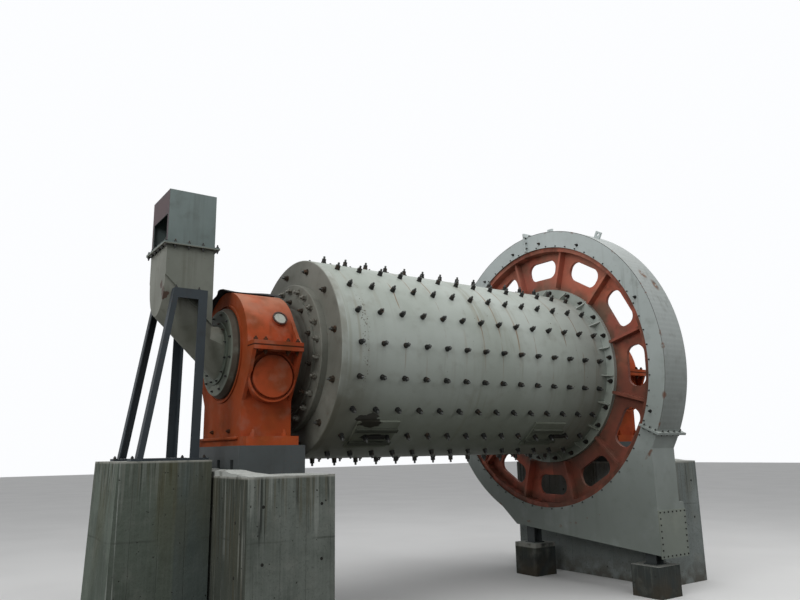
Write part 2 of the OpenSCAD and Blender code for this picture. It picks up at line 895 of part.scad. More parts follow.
// A short leg under the guard: an I section on a foot plate
module guard_leg(y, low, high_near, high_far) {
    x0 = guard_x + guard_w / 2 - leg_w / 2;
    tall = high_far - low + leg_w;
    color([0.40, 0.42, 0.43])
    intersection() {
        across(x0 - 30, leg_w + 60)
            polygon([[y - leg_w, low], [y + leg_w, low], [y + leg_w, high_far], [y - leg_w, high_near]]);
        union() {
            translate([x0 - 20, y - leg_w / 2 - 20, low]) cube([leg_w + 40, leg_w + 40, leg_t]);
            translate([x0, y - leg_w / 2, low]) cube([leg_t, leg_w, tall]);
            translate([x0 + leg_w - leg_t, y - leg_w / 2, low]) cube([leg_t, leg_w, tall]);
            translate([x0, y - leg_t / 2, low]) cube([leg_w, leg_t, tall]);
        }
    }
}

module guard_leg_near() {
    y = -footing_near_y;
    guard_leg(y, footing_near_h, underside(y - leg_w), underside(y + leg_w));
}

module guard_leg_far() {
    y = footing_far_y;
    guard_leg(y, footing_far_h, underside(y - leg_w), underside(y + leg_w));
}

// Feed chute
// A rectangular flange round the chute's box
module chute_flange(z) {
    translate([chute_out_x - chute_flange_w, -chute_half - chute_flange_w, z])
        difference() {
            cube([chute_l + 2 * chute_flange_w, 2 * (chute_half + chute_flange_w), chute_flange_t]);
            translate([chute_flange_w + chute_t, chute_flange_w + chute_t, -eps])
                cube([chute_l - 2 * chute_t, 2 * (chute_half - chute_t), chute_flange_t + 2 * eps]);
        }
}

inlet_frame = 40;

module chute_head_box() {
    color([0.50, 0.53, 0.50]) {
        chute_flange(chute_flange_z);
        difference() {
            translate([chute_out_x, -chute_half, chute_flange_z])
                cube([chute_l, 2 * chute_half, head_box_h]);
            translate([chute_out_x + chute_t, -chute_half + chute_t, chute_flange_z - eps])
                cube([chute_l - 2 * chute_t, 2 * (chute_half - chute_t), head_box_h - chute_t + eps]);
            translate([chute_out_x - eps, -chute_half + inlet_frame, chute_flange_z + inlet_frame])
                cube([chute_t + 2 * eps, 2 * (chute_half - inlet_frame), inlet_h]);
        }
    }
}

// The sloping leg is a little narrower than the box that it leaves
leg_r = chute_half - chute_t - leg_step;

// The leg's underside meets the neck's underside just before the end plate
leg_rise = leg_r / cos(chute_slope) - chute_neck_r - leg_step;

// Height of the sloping leg's centre line at a place along the axis
function leg_line(x) = axis_h + leg_rise + (plate_x - x) * slope_rise;

// The chute's form, less a wall: an upright box over a sloping leg with a round underside,
// and a short round neck. past makes it run on through its open top and its open end.
module chute_form(inset, past) {
    out_x = chute_out_x + inset;
    in_x = chute_in_x - inset;
    half = chute_half - inset;
    top = chute_flange_z + past;
    lift = inset / cos(chute_slope);
    lengthwise(-half, 2 * half)
        polygon([[out_x, top], [out_x, leg_line(out_x) + lift], [in_x, leg_line(in_x) + lift], [in_x, top]]);
    intersection() {
        translate([plate_x, 0, leg_line(plate_x)]) rotate([0, -90 + chute_slope, 0])
            cylinder(r = leg_r - inset, h = 6 * chute_l, center = true);
        union() {
            translate([out_x, -chute_half, pedestal_top])
                cube([in_x - out_x, 2 * chute_half, top - pedestal_top]);
            disc(in_x - chute_l / 2, plate_x + past - in_x + chute_l / 2, chute_neck_r - inset);
        }
    }
}

module chute_body() {
    color([0.62, 0.62, 0.57]) {
        difference() {
            chute_form(0, 0);
            chute_form(chute_t, eps);
        }
        chute_flange(chute_flange_z - chute_flange_t);
    }
}

// The spout closes the chute's end on the seal ring and reaches into the trunnion's mouth
module chute_spout() {
    color([0.56, 0.57, 0.53])
    difference() {
        union() {
            disc(plate_x, end_plate_t, seal_open_r + end_plate_lap);
            disc(plate_x, end_plate_t + seal_t + nozzle_reach, nozzle_r);
        }
        disc(plate_x - eps, end_plate_t + seal_t + nozzle_reach + 2 * eps, nozzle_r - chute_t);
    }
}

// Chute frames: portals of angle bar with one upright leg and one slanted leg
frame_h = frame_top_z - frame_foot_z;
leg_run = frame_foot_l - frame_top_l;

// The frame's outline in its own plane, drawn in by an inset at its sides and top
function frame_points(inset) = [
    [-frame_x - frame_foot_l + inset * sqrt(1 + pow(leg_run / frame_h, 2)), frame_foot_z - min(inset, eps)],
    [-frame_x - frame_top_l + inset, frame_top_z - inset],
    [-frame_x - inset, frame_top_z - inset],
    [-frame_x - inset, frame_foot_z - min(inset, eps)]
];

// low_y is the frame's lowest y, and plate_y that of the bars' upright plate
module chute_frame(low_y, plate_y) {
    color([0.25, 0.29, 0.33])
    difference() {
        lengthwise(low_y, bar_w) polygon(frame_points(0));
        difference() {
            lengthwise(low_y - eps, bar_w + 2 * eps) polygon(frame_points(bar_t));
            lengthwise(plate_y, bar_t) polygon(frame_points(0));
        }
        lengthwise(low_y - eps, bar_w + 2 * eps) polygon(frame_points(bar_w));
    }
}

module chute_frame_near() {
    chute_frame(-chute_half - bar_w, -chute_half - bar_w);
}

module chute_frame_far() {
    chute_frame(chute_half, chute_half + bar_w - bar_t);
}

module frame_base_bars() {
    base_l = frame_foot_l + 90;
    color([0.24, 0.27, 0.31])
    for (side = [0, 1])
        mirror([0, side, 0])
            translate([-frame_x - base_l + 40, chute_half - 20, pedestal_top])
                cube([base_l, bar_w + 40, base_bar_t]);
}

feed_pier();
discharge_pier();
chute_pedestal();
footing_near();
footing_far();
feed_sole_plate();
discharge_sole_plate();
feed_bearing_base();
discharge_bearing_base();
feed_bearing_cap();
discharge_bearing_cap();
feed_seal_ring();
discharge_seal_ring();
bearing_mat();
feed_head();
discharge_head();
mill_shell();
shell_flange();
manhole_cover_feed();
manhole_cover_discharge();
feed_trunnion();
discharge_trunnion();
girth_gear();
guard_crown_near();
guard_crown_far();
guard_lower();
inspection_panel();
guard_leg_near();
guard_leg_far();
chute_head_box();
chute_body();
chute_spout();
chute_frame_near();
chute_frame_far();
frame_base_bars();
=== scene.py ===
# %% [markdown]
# # A ball mill, dressed round its CAD frame
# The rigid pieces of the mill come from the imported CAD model: piers, bearings, drum, gear, guard and
# chute. This script gives each of them its finish, adds the bolts, studs and small fittings, and sets
# up the camera and the studio. All lengths are metres, in the frame of the model.

# %% Load the frame
import math

import bmesh
import bpy
from mathutils import Matrix, Vector


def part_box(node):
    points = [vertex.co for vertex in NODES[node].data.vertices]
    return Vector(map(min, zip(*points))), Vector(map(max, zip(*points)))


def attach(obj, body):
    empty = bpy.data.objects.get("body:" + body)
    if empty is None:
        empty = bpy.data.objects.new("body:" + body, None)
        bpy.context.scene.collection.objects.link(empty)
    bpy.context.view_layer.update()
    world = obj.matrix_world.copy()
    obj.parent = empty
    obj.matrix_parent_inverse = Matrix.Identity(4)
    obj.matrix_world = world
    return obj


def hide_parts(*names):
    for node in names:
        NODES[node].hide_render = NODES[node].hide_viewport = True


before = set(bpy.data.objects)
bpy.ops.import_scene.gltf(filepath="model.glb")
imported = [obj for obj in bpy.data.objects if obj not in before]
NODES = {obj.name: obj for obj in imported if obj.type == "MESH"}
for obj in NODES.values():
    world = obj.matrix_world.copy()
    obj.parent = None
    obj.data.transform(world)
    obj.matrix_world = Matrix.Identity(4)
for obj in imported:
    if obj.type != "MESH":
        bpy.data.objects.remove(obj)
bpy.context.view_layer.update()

# %% [markdown]
# ## Where things are
# The mill's axis lies along +X at a fixed height, with the bearings' middles at x = 0 and SPAN. The
# faces of the drum and the guard are found from the boxes of their CAD nodes, so that a bolt sits on
# the face that carries it. The guard's joints are given in degrees from the top.

# %% Shared places
AXIS_H = 2.5
SHELL_R = 1.0
HEAD_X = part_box("feed_head")[0].x
FAR_HEAD_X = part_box("discharge_head")[1].x
SPAN = 4.94
GUARD_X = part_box("guard_crown_near")[0].x + 0.05
GUARD_R = 1.863
GUARD_W = 0.39
GUARD_SPLIT = 115
GUARD_TOP_JOINT = 3
FLANGE_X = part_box("shell_flange")[1].x - 0.045
print("feed head at x", round(HEAD_X, 3), "far head at", round(FAR_HEAD_X, 3), "guard at", round(GUARD_X, 3))

# %% [markdown]
# ## Camera
# The camera stands low at the feed end, a little left of the mill, and looks up along the drum. Its
# place, turn and lens come from fitting a pinhole camera to the regular grid of bolts on the shell.
# The fit gives the directions that the camera calls right, up and ahead, and a matrix takes them as
# they are, with no angles to work out.

# %% The camera
def new_object(name, data):
    made = bpy.data.objects.new(name, data)
    bpy.context.scene.collection.objects.link(made)
    return made


camera = new_object("camera", bpy.data.cameras.new("camera"))
right, up = Vector((0.8263, -0.5629, -0.0167)), Vector((-0.1052, -0.1834, 0.9775))
ahead = Vector((0.5532, 0.8060, 0.2107))
turn = Matrix((right, up, -ahead)).transposed().to_4x4()
camera.matrix_world = Matrix.Translation((-2.601, -6.435, 1.565)) @ turn
camera.data.sensor_width = 36
camera.data.lens = 31.45
bpy.context.scene.camera = camera
print("camera at", tuple(round(v, 2) for v in camera.location))

# %% [markdown]
# ## Studio
# A plain pale floor, wide soft lamps overhead and at both sides, and a pale world. The camera and
# mirror-like rays see the world as white and the floor as pale; every other ray sees both dimmer, so
# that the object isn't washed out and its underside stays as dark as it is over bare ground.

# %% Floor, lamps and world
def tone(r, g, b):
    """A colour as read off a screen, 0 to 255, turned into the linear values that a shader takes."""
    return tuple(((c / 255 + 0.055) / 1.055) ** 2.4 if c > 10 else c / 255 / 12.92 for c in (r, g, b)) + (1.0,)


def area_lamp(name, place, target, size, watts):
    lamp = new_object(name, bpy.data.lights.new(name, "AREA"))
    lamp.data.shape, lamp.data.size, lamp.data.size_y, lamp.data.energy = "RECTANGLE", *size, watts
    lamp.location = place
    lamp.rotation_euler = (Vector(target) - Vector(place)).to_track_quat("-Z", "Y").to_euler()


area_lamp("sky_lamp", (3.0, -2.0, 9.0), (2.4, 0, 2.0), (11, 8), 450)
area_lamp("left_lamp", (-9.0, -4.2, 6.5), (1.6, 0, 2.2), (7, 5), 450)
area_lamp("right_lamp", (7.5, -7.5, 5.5), (3.0, 0, 2.0), (5, 4), 110)

world = bpy.data.worlds.new("studio")
bpy.context.scene.world = world
world.use_nodes = True
world_tree = world.node_tree


def seen_directly(tree):
    """1 for camera, glossy and transmission rays, and 0 for the rays that light the object."""
    path = tree.nodes.new("ShaderNodeLightPath")
    seen = path.outputs["Is Camera Ray"]
    for name in ("Is Glossy Ray", "Is Transmission Ray"):
        either = tree.nodes.new("ShaderNodeMath")
        either.operation = "MAXIMUM"
        tree.links.new(seen, either.inputs[0])
        tree.links.new(path.outputs[name], either.inputs[1])
        seen = either.outputs[0]
    return seen


level = world_tree.nodes.new("ShaderNodeMapRange")
level.inputs["To Min"].default_value, level.inputs["To Max"].default_value = 0.42, 1.0
world_tree.links.new(seen_directly(world_tree), level.inputs["Value"])
sky = world_tree.nodes["Background"].inputs
world_tree.links.new(level.outputs[0], sky["Strength"])
sky["Color"].default_value = (0.975, 0.985, 1.0, 1)

bpy.context.scene.view_settings.view_transform = "Standard"

floor_mesh = bmesh.new()
bmesh.ops.create_grid(floor_mesh, x_segments=1, y_segments=1, size=60)
floor = new_object("floor", bpy.data.meshes.new("floor"))
floor_mesh.to_mesh(floor.data)
floor_mesh.free()

# %% [markdown]
# ## A small kit for finishes
# Every finish is a chain of nodes: a pattern such as noise, a step that turns it into a mask, and a
# mix that lays a second colour over the first where the mask is on. Writing that chain once as a
# class keeps each paint below down to a few lines. Its colours are written as they read on a screen,
# 0 to 255. The patterns read Object coordinates, which are metres in the model's own frame, so a
# stain has a real size and place.

# %% The finish kit
A_RADIAN = 57.2958  # in degrees


class Finish:
    """One procedural material: patterns and masks that end in a Principled shader."""

    def __init__(self, name, rough=0.6, metal=0.0, shine=0.3):
        self.material = bpy.data.materials.new(name)
        self.material.use_nodes = True
        self.tree = self.material.node_tree
        self.shader = self.tree.nodes["Principled BSDF"]
        for key, value in (("Metallic", metal), ("Roughness", rough), ("Specular IOR Level", shine)):
            self.shader.inputs[key].default_value = value
        self.place = self.node("ShaderNodeTexCoord").outputs["Object"]
        split = self.node("ShaderNodeSeparateXYZ")
        self.feed(split.inputs[0], self.place)
        self.x, self.y, self.z = split.outputs
        self.colour = self.height = None

    def node(self, kind, **settings):
        made = self.tree.nodes.new(kind)
        for key, value in settings.items():
            setattr(made, key, value)
        return made

    def feed(self, socket, value):
        if isinstance(value, bpy.types.NodeSocket):
            self.tree.links.new(value, socket)
        else:
            socket.default_value = value

    def maths(self, operation, *values):
        made = self.node("ShaderNodeMath", operation=operation)
        for socket, value in zip(made.inputs, values):
            self.feed(socket, value)
        return made.outputs[0]

    def stretched(self, scale):
        made = self.node("ShaderNodeMapping")
        self.feed(made.inputs["Vector"], self.place)
        made.inputs["Scale"].default_value = scale
        return made.outputs[0]

    def noise(self, scale, detail=3.0, stretch=None, shift=0.0):
        made = self.node("ShaderNodeTexNoise", noise_dimensions="4D")
        self.feed(made.inputs["Vector"], self.stretched(stretch) if stretch else self.place)
        self.feed(made.inputs["Scale"], scale)
        self.feed(made.inputs["Detail"], detail)
        self.feed(made.inputs["W"], shift)
        return made.outputs["Fac"]

    def step(self, value, low, high):
        """0 below low, 1 above high and smooth between; the other way round where low is the larger."""
        made = self.node("ShaderNodeMapRange", interpolation_type="SMOOTHSTEP")
        self.feed(made.inputs["Value"], value)
        made.inputs["From Min"].default_value, made.inputs["From Max"].default_value = sorted((low, high))
        if high < low:
            made.inputs["To Min"].default_value, made.inputs["To Max"].default_value = 1.0, 0.0
        return made.outputs[0]

    def cloud(self, low, high, scale, detail=3.0, stretch=None, shift=0.0):
        """A mask of soft blotches: a noise with a step laid through it."""
        return self.step(self.noise(scale, detail, stretch, shift), low, high)

    def both(self, *masks):
        """Where every mask is on."""
        whole = masks[0]
        for mask in masks[1:]:
            whole = self.maths("MULTIPLY", whole, mask)
        return whole

    def either(self, one, other):
        return self.maths("MAXIMUM", one, other)

    def gap(self, one, other):
        """How far two values lie apart."""
        return self.maths("ABSOLUTE", self.maths("SUBTRACT", one, other))

    def sway(self, noise, amount):
        """A noise set about zero, to break the run of a line or an outline."""
        return self.maths("MULTIPLY", self.maths("SUBTRACT", noise, 0.5), amount)

    def mix(self, under, over, mask, amount=None):
        """One colour over another where the mask is on, at a share of its strength."""
        if amount is not None:
            mask = self.maths("MULTIPLY", mask, amount)
        made = self.node("ShaderNodeMix", data_type="RGBA")
        self.feed(made.inputs[0], mask)
        for socket, colour in ((made.inputs[6], under), (made.inputs[7], over)):
            self.feed(socket, tone(*colour) if isinstance(colour, tuple) else colour)
        return made.outputs[2]

    def lay(self, over, mask, amount=None):
        """Lays a colour over the finish as it is so far."""
        self.colour = self.mix(self.colour, over, mask, amount)

    def raise_by(self, value, metres):
        """Adds a pattern to the surface's height, which becomes the bump."""
        part = self.maths("MULTIPLY", value, metres)
        self.height = part if self.height is None else self.maths("ADD", self.height, part)

    def facing_up(self):
        geometry = self.node("ShaderNodeNewGeometry")
        split = self.node("ShaderNodeSeparateXYZ")
        self.feed(split.inputs[0], geometry.outputs["Normal"])
        return split.outputs[2]

    def radius(self):
        """Distance from the mill's axis."""
        above = self.maths("SUBTRACT", self.z, AXIS_H)
        return self.maths("SQRT", self.maths("ADD", self.both(self.y, self.y), self.both(above, above)))

    def angle(self):
        """Degrees from the top towards the near side."""
        above = self.maths("SUBTRACT", self.z, AXIS_H)
        radians = self.maths("ARCTAN2", self.maths("MULTIPLY", self.y, -1.0), above)
        return self.maths("MULTIPLY", radians, A_RADIAN)

    def near(self, centre, size):
        """A soft spot round a point: 1 at its middle, and 0 where its size ends."""
        shifted = self.node("ShaderNodeVectorMath", operation="SUBTRACT")
        self.feed(shifted.inputs[0], self.place)
        shifted.inputs[1].default_value = centre
        scaled = self.node("ShaderNodeVectorMath", operation="DIVIDE")
        self.feed(scaled.inputs[0], shifted.outputs[0])
        scaled.inputs[1].default_value = size
        length = self.node("ShaderNodeVectorMath", operation="LENGTH")
        self.feed(length.inputs[0], scaled.outputs[0])
        return self.step(length.outputs["Value"], 1.0, 0.3)

    def ragged(self, spot, noise):
        """A soft spot cut out by a noise, so that its outline is torn."""
        return self.step(self.maths("ADD", spot, self.sway(noise, 3.2)), 0.42, 0.62)

    def done(self, rough=None):
        """Connects the colour, and the roughness and bump where there are any."""
        self.feed(self.shader.inputs["Base Color"], self.colour)
        if rough is not None:
            self.feed(self.shader.inputs["Roughness"], rough)
        if self.height is not None:
            bump = self.node("ShaderNodeBump")
            bump.inputs["Distance"].default_value = 1.0
            self.feed(bump.inputs["Height"], self.height)
            self.feed(self.shader.inputs["Normal"], bump.outputs[0])
        print("finish", self.material.name, "-", len(self.tree.nodes), "nodes")
        return self.material

# %% [markdown]
# ## Weathered paint
# Painted steel outdoors is never one colour. Broad mottling shows where sun and dust have worked,
# fine grain breaks the surface, rain draws thin upright stains down every wall, dust settles on what
# faces the sky, and rust comes through in specks. One function lays these over a base colour, and
# each paint below picks its own amounts.

# %% Weathering
RUST, DARK_RUST = (104, 62, 38), (62, 40, 28)


def weather(f, main, faded, stain, streaks=0.5, dust=0.0, dust_colour=(168, 158, 142), rust=0.5,
            grain=0.0006):
    """The base colour of a still piece with mottling, upright stains, dust and rust specks."""
    f.colour = f.mix(main, faded, f.cloud(0.38, 0.66, 1.6, 5.0))
    f.lay(stain, f.cloud(0.5, 0.85, 9.0, 6.0), 0.55)
    drip = f.both(f.cloud(0.52, 0.74, 1.0, 4.0, (17, 17, 0.9)), f.cloud(0.4, 0.62, 0.9, 2.0))
    f.lay(stain, drip, streaks)
    specks = f.both(f.cloud(0.66, 0.72, 55.0, 2.0), f.cloud(0.5, 0.62, 2.3, 3.0, shift=4.0))
    f.lay(RUST, specks, rust)
    if dust:
        lying = f.both(f.step(f.facing_up(), 0.25, 0.9), f.cloud(0.2, 0.6, 4.0, 5.0, shift=2.0))
        f.lay(dust_colour, lying, dust)
    f.raise_by(f.noise(38.0, 4.0), grain)
    f.raise_by(f.noise(3.0, 2.0), grain * 4)


print("rust:", RUST, "dark rust:", DARK_RUST)

# %% [markdown]
# ## Concrete
# The piers are cast between upright boards, so faint upright joints show on their faces. The concrete
# is mid grey with blotches, small air holes and thin drips that hang from the top edge: black, white
# and brown. A noise that hardly varies with height makes the drips and another one their lengths, and
# a triangle wave across the face makes the joints.

# %% Concrete finish
POUR_Z, BOARD_W, FOOTING_TOP = 0.89, 0.22, 0.35
BLACK, WHITE, BROWN = (38, 41, 37), (150, 154, 148), (84, 76, 54)


def concrete(name, top, main, damp, stained=(94, 91, 74), streaked=1.0, extra=None):
    f = Finish(name, rough=0.9, shine=0.15)
    f.colour = f.mix(main, damp, f.cloud(0.42, 0.66, 1.3, 6.0))
    f.lay(damp, f.cloud(0.5, 0.7, 4.2, 6.0, shift=12.0), 0.7 * streaked)
    f.lay((134, 136, 129), f.cloud(0.5, 0.8, 6.0, 6.0, shift=3.0), 0.5)
    f.lay((64, 67, 62), f.cloud(0.52, 0.7, 70.0, 3.0), 0.35)
    runs = f.both(f.cloud(0.5, 0.74, 1.0, 4.0, (8, 8, 0.4)), f.step(f.z, 0.1, top))
    f.lay((60, 63, 58), runs, 0.35 * streaked)
    grain = f.cloud(0.46, 0.64, 1.0, 3.0, (44, 44, 1.6), 11.0)
    f.lay((136, 141, 136), grain, 0.14 * streaked)
    for turn, (shade, amount) in enumerate(((BLACK, 0.8), (WHITE, 0.45), (BROWN, 0.35))):
        thin = f.cloud(0.52, 0.59, 1.0, 2.0, (42, 42, 0.3), 20.0 + turn)
        reach = f.maths("MULTIPLY", f.cloud(0.3, 0.75, 1.0, 3.0, (11, 11, 0.1), 30.0 + turn), 0.75)
        hang = f.step(f.maths("SUBTRACT", f.z, f.maths("SUBTRACT", top, reach)), 0.0, 0.2)
        patch = f.cloud(0.30, 0.46, 1.7, 2.0, shift=40.0 + turn)
        f.lay(shade, f.both(thin, hang, patch), amount * streaked)
    if extra:
        extra(f)
    level = f.maths("ADD", f.maths("SUBTRACT", f.z, POUR_Z), f.sway(f.noise(2.5, 3.0), 0.06))
    pour = f.both(f.step(f.maths("ABSOLUTE", level), 0.012, 0.002), f.cloud(0.35, 0.6, 3.0, 3.0, shift=15.0))
    f.lay((66, 69, 64), pour, 0.6 * streaked)
    brown = f.both(f.cloud(0.5, 0.66, 1.0, 3.0, (3.4, 3.4, 0.6), 5.0), f.step(f.z, 0.2, top))
    f.lay(stained, brown, 0.45)
    along = f.maths("ADD", f.maths("ADD", f.x, f.y), f.maths("MULTIPLY", f.noise(0.7, 1.0), 0.03))
    joint = f.step(f.maths("PINGPONG", along, BOARD_W / 2), 0.005, 0.001)
    f.lay((70, 72, 66), f.both(joint, f.cloud(0.4, 0.7, 2.0, 3.0, shift=18.0), 0.5))
    wash = f.both(f.step(f.z, top - 0.022, top - 0.004), f.cloud(0.35, 0.55, 5.0, 4.0, shift=1.0))
    f.lay((170, 170, 162), wash, 0.75)
    earth = f.both(f.step(f.z, 0.34, 0.02), f.cloud(0.3, 0.62, 7.0, 5.0, shift=6.0))
    f.lay((74, 66, 54), earth, 0.7)
    mortar = f.both(f.step(f.facing_up(), 0.5, 0.9), f.cloud(0.2, 0.5, 6.0, 5.0, shift=9.0))
    f.lay((170, 172, 166), mortar, 0.85)
    # Small air holes: their shade is painted as dark spots, and the bump dents them.
    holes = f.cloud(0.72, 0.76, 30.0, 1.0)
    f.lay((60, 61, 57), holes)
    f.raise_by(f.noise(16.0, 6.0), 0.006)
    f.raise_by(joint, -0.002)
    f.raise_by(holes, -0.006)
    return f.done()


def shaded_feed_side(f):
    """The feed pier's outer side: painted shade, darker all over, with white, brown and black streaks."""
    side = f.step(f.x, -0.436, -0.443)
    f.lay((54, 57, 50), side, 0.72)
    streaks = (((150, 153, 146), 0.55), ((82, 70, 48), 0.4), ((30, 33, 29), 0.6))
    for turn, (shade, amount) in enumerate(streaks):
        streak = f.cloud(0.54, 0.62, 1.0, 3.0, (9, 30, 0.7), 50.0 + turn)
        broken = f.cloud(0.35, 0.6, 2.0, 2.0, shift=60.0 + turn)
        f.lay(shade, f.both(side, streak, broken, amount))


def pedestal_sides(f):
    """The near side: brown in its left part, a smoother blue grey right of it, white lines at its left edge."""
    side = f.step(f.y, -0.425, -0.438)
    right_part = f.both(side, f.step(f.x, -0.768, -0.752))
    f.lay((62, 68, 60), side, 0.38)
    f.lay((76, 85, 86), right_part, 0.5)
    for place, width in ((-1.266, 0.006), (-1.222, 0.0045)):
        line = f.step(f.gap(f.x, place), width, width * 0.4)
        broken = f.cloud(0.3, 0.5, 3.0, 4.0, shift=place)
        f.lay((150, 155, 150), f.both(line, side, broken, 0.75))


pier, far_pier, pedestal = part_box("feed_pier"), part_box("discharge_pier"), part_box("chute_pedestal")
pier_concrete = concrete("pier_concrete", pier[1].z, (108, 114, 108), (84, 90, 84), extra=shaded_feed_side)
discharge_concrete = concrete("discharge_concrete", pier[1].z, (142, 149, 147), (118, 125, 123),
                              streaked=0.6)
pedestal_concrete = concrete("pedestal_concrete", pedestal[1].z, (100, 109, 100), (78, 86, 78),
                             (84, 81, 58), extra=pedestal_sides)
# The footings' concrete is much darker than the piers': a painted shade.
footing_concrete_shaded = concrete("footing_concrete_shaded", FOOTING_TOP, (62, 67, 66), (50, 54, 54), streaked=0.2)

# %% [markdown]
# ## The drum's paint
# The shell was painted a cream grey. From every row of liner bolts a thin rusty run follows the
# shell round, because rain leaves the washers along the same line. The drum turns, so these runs
# can't be drawn by height: they are thin bands at a fixed place along the axis, broken by a noise
# that varies round the shell.

# %% Shell and head finishes
FIRST_RING_X, RING_STEP, RINGS = 0.69, 0.25, 14
ROWS, FIRST_ROW = 20, 33.25


def below(f):
    """The paint's underside: painted shade, darker and greener all over, and brown with dirt next to the feed
    head.
    """
    f.lay((104, 109, 93), f.step(f.angle(), 88.0, 145.0), 0.6)
    dirty = f.both(f.step(f.x, 1.15, 0.55), f.step(f.angle(), 74.0, 124.0),
                   f.cloud(0.25, 0.55, 3.0, 5.0, shift=4.0))
    f.lay((82, 78, 64), dirty, 0.7)


def dark_patches(f):
    """Two dark patches with torn outlines: one over the first manhole and one round its strap."""
    spots = f.either(f.near((0.925, -0.765, 1.852), (0.21, 0.12, 0.11)),
                     f.near((1.02, -0.64, 1.695), (0.20, 0.05, 0.04)))
    dark_patch_mask = f.both(f.ragged(spots, f.noise(1.0, 8.0, (9, 19, 19), 3.0)), f.step(spots, 0.0, 0.1))
    f.lay((30, 27, 20), dark_patch_mask, 0.94)


def shell_paint():
    f = Finish("shell_cream", rough=0.5, shine=0.22)
    f.colour = f.mix((163, 170, 164), (147, 154, 146), f.cloud(0.38, 0.68, 1.1, 5.0))
    f.lay((130, 132, 122), f.cloud(0.5, 0.8, 7.0, 6.0), 0.5)
    band = f.both(f.cloud(0.5, 0.75, 1.0, 5.0, (16, 0.8, 0.8)), f.cloud(0.4, 0.6, 1.2, 2.0, shift=5.0))
    f.lay((126, 124, 108), band, 0.5)
    swaying_x = f.maths("ADD", f.x, f.sway(f.noise(4.0, 3.0, shift=7.0), 0.03))
    off_ring = f.maths("PINGPONG", f.maths("SUBTRACT", swaying_x, FIRST_RING_X), RING_STEP / 2)
    rained_on = f.step(f.gap(f.angle(), 30.0), 88.0, 40.0)
    soft_run = f.both(f.step(off_ring, 0.026, 0.0), f.cloud(0.48, 0.66, 1.0, 3.0, (4.0, 1.5, 1.5), 9.0))
    f.lay((132, 116, 92), f.both(soft_run, rained_on), 0.4)
    run = f.both(f.step(off_ring, 0.010, 0.001), f.cloud(0.46, 0.58, 1.0, 4.0, (5.1, 2.0, 2.0), 3.0), rained_on)
    f.lay((118, 86, 54), run, 0.85)
    below(f)
    specks = f.both(f.cloud(0.61, 0.65, 60.0, 2.0), f.near((0.755, -0.92, 2.68), (0.062, 0.5, 0.75)))
    f.lay(DARK_RUST, specks)
    dark_patches(f)
    loose = f.both(f.cloud(0.7, 0.73, 48.0, 2.0, shift=2.0), f.cloud(0.52, 0.6, 1.7, 2.0, shift=8.0))
    f.lay(DARK_RUST, loose, 0.8)
    f.raise_by(f.noise(30.0, 4.0), 0.0006)
    f.raise_by(f.noise(1.4, 2.0), 0.010)
    rough = f.maths("ADD", 0.42, f.maths("MULTIPLY", f.noise(6.0, 3.0), 0.25))
    return f.done(rough)


def head_paint():
    f = Finish("head_grey", rough=0.65, shine=0.2)
    f.colour = f.mix((116, 117, 109), (100, 101, 93), f.cloud(0.4, 0.66, 2.0, 5.0))
    f.lay((82, 79, 68), f.cloud(0.48, 0.78, 8.0, 6.0), 0.5)
    f.lay((134, 134, 126), f.cloud(0.55, 0.75, 3.2, 3.0, shift=5.0), 0.5)
    r = f.radius()
    grease = f.both(f.step(r, 0.56, 0.46), f.cloud(0.25, 0.55, 6.0, 4.0, shift=3.0))
    f.lay((62, 58, 50), grease, 0.6)
    specks = f.cloud(0.67, 0.73, 42.0, 2.0)
    f.lay(RUST, specks, 0.5)
    # Painted light: the upper part of the head is made lighter.
    high = f.both(f.step(f.z, AXIS_H + 0.35, AXIS_H + 0.95), f.cloud(0.2, 0.6, 3.0, 5.0, shift=9.0))
    f.lay((146, 146, 138), high, 0.5)
    face, f.colour = f.colour, f.mix((160, 165, 159), (136, 138, 129), f.cloud(0.4, 0.7, 5.0, 5.0, shift=1.0))
    below(f)
    f.colour = f.mix(face, f.colour, f.step(r, 0.9945, 0.9975))
    f.raise_by(f.noise(26.0, 5.0), 0.0012)
    return f.done()


def cover_paint():
    """Nearly the shell's own paint, with the clamp bars painted darker, the darkest on the first cover: partly to
    match the dark strap on that cover, partly a painted shade that keeps the bars' lit tops from standing out.
    """
    f = Finish("manhole_steel", rough=0.7, shine=0.1)
    f.colour = f.mix((138, 144, 136), (120, 126, 117), f.cloud(0.35, 0.65, 5.0, 5.0))
    below(f)
    bars = f.step(f.radius(), SHELL_R + 0.022, SHELL_R + 0.024)
    first_cover = f.step(f.x, 2.2, 2.1)
    f.lay((60, 63, 55), bars, f.maths("ADD", 0.62, f.maths("MULTIPLY", first_cover, 0.3)))
    dark_patches(f)
    f.raise_by(f.noise(30.0, 4.0), 0.0010)
    return f.done()


shell_cream = shell_paint()
head_grey = head_paint()
manhole_steel = cover_paint()

# %% [markdown]
# ## Gear, guard and bearing paints
# The gear and the bearings carry an orange primer: redder and greasy on the gear, dusty on the
# bearings. The guard is a pale grey with a dark line where its plate meets the band, chips at the
# edge, and one brown scar where the paint has come off. A scar could be painted by hand on a UV map.
# Here it is a soft spot round a point, cut out by a noise, which needs no map and stays sharp from
# close by.

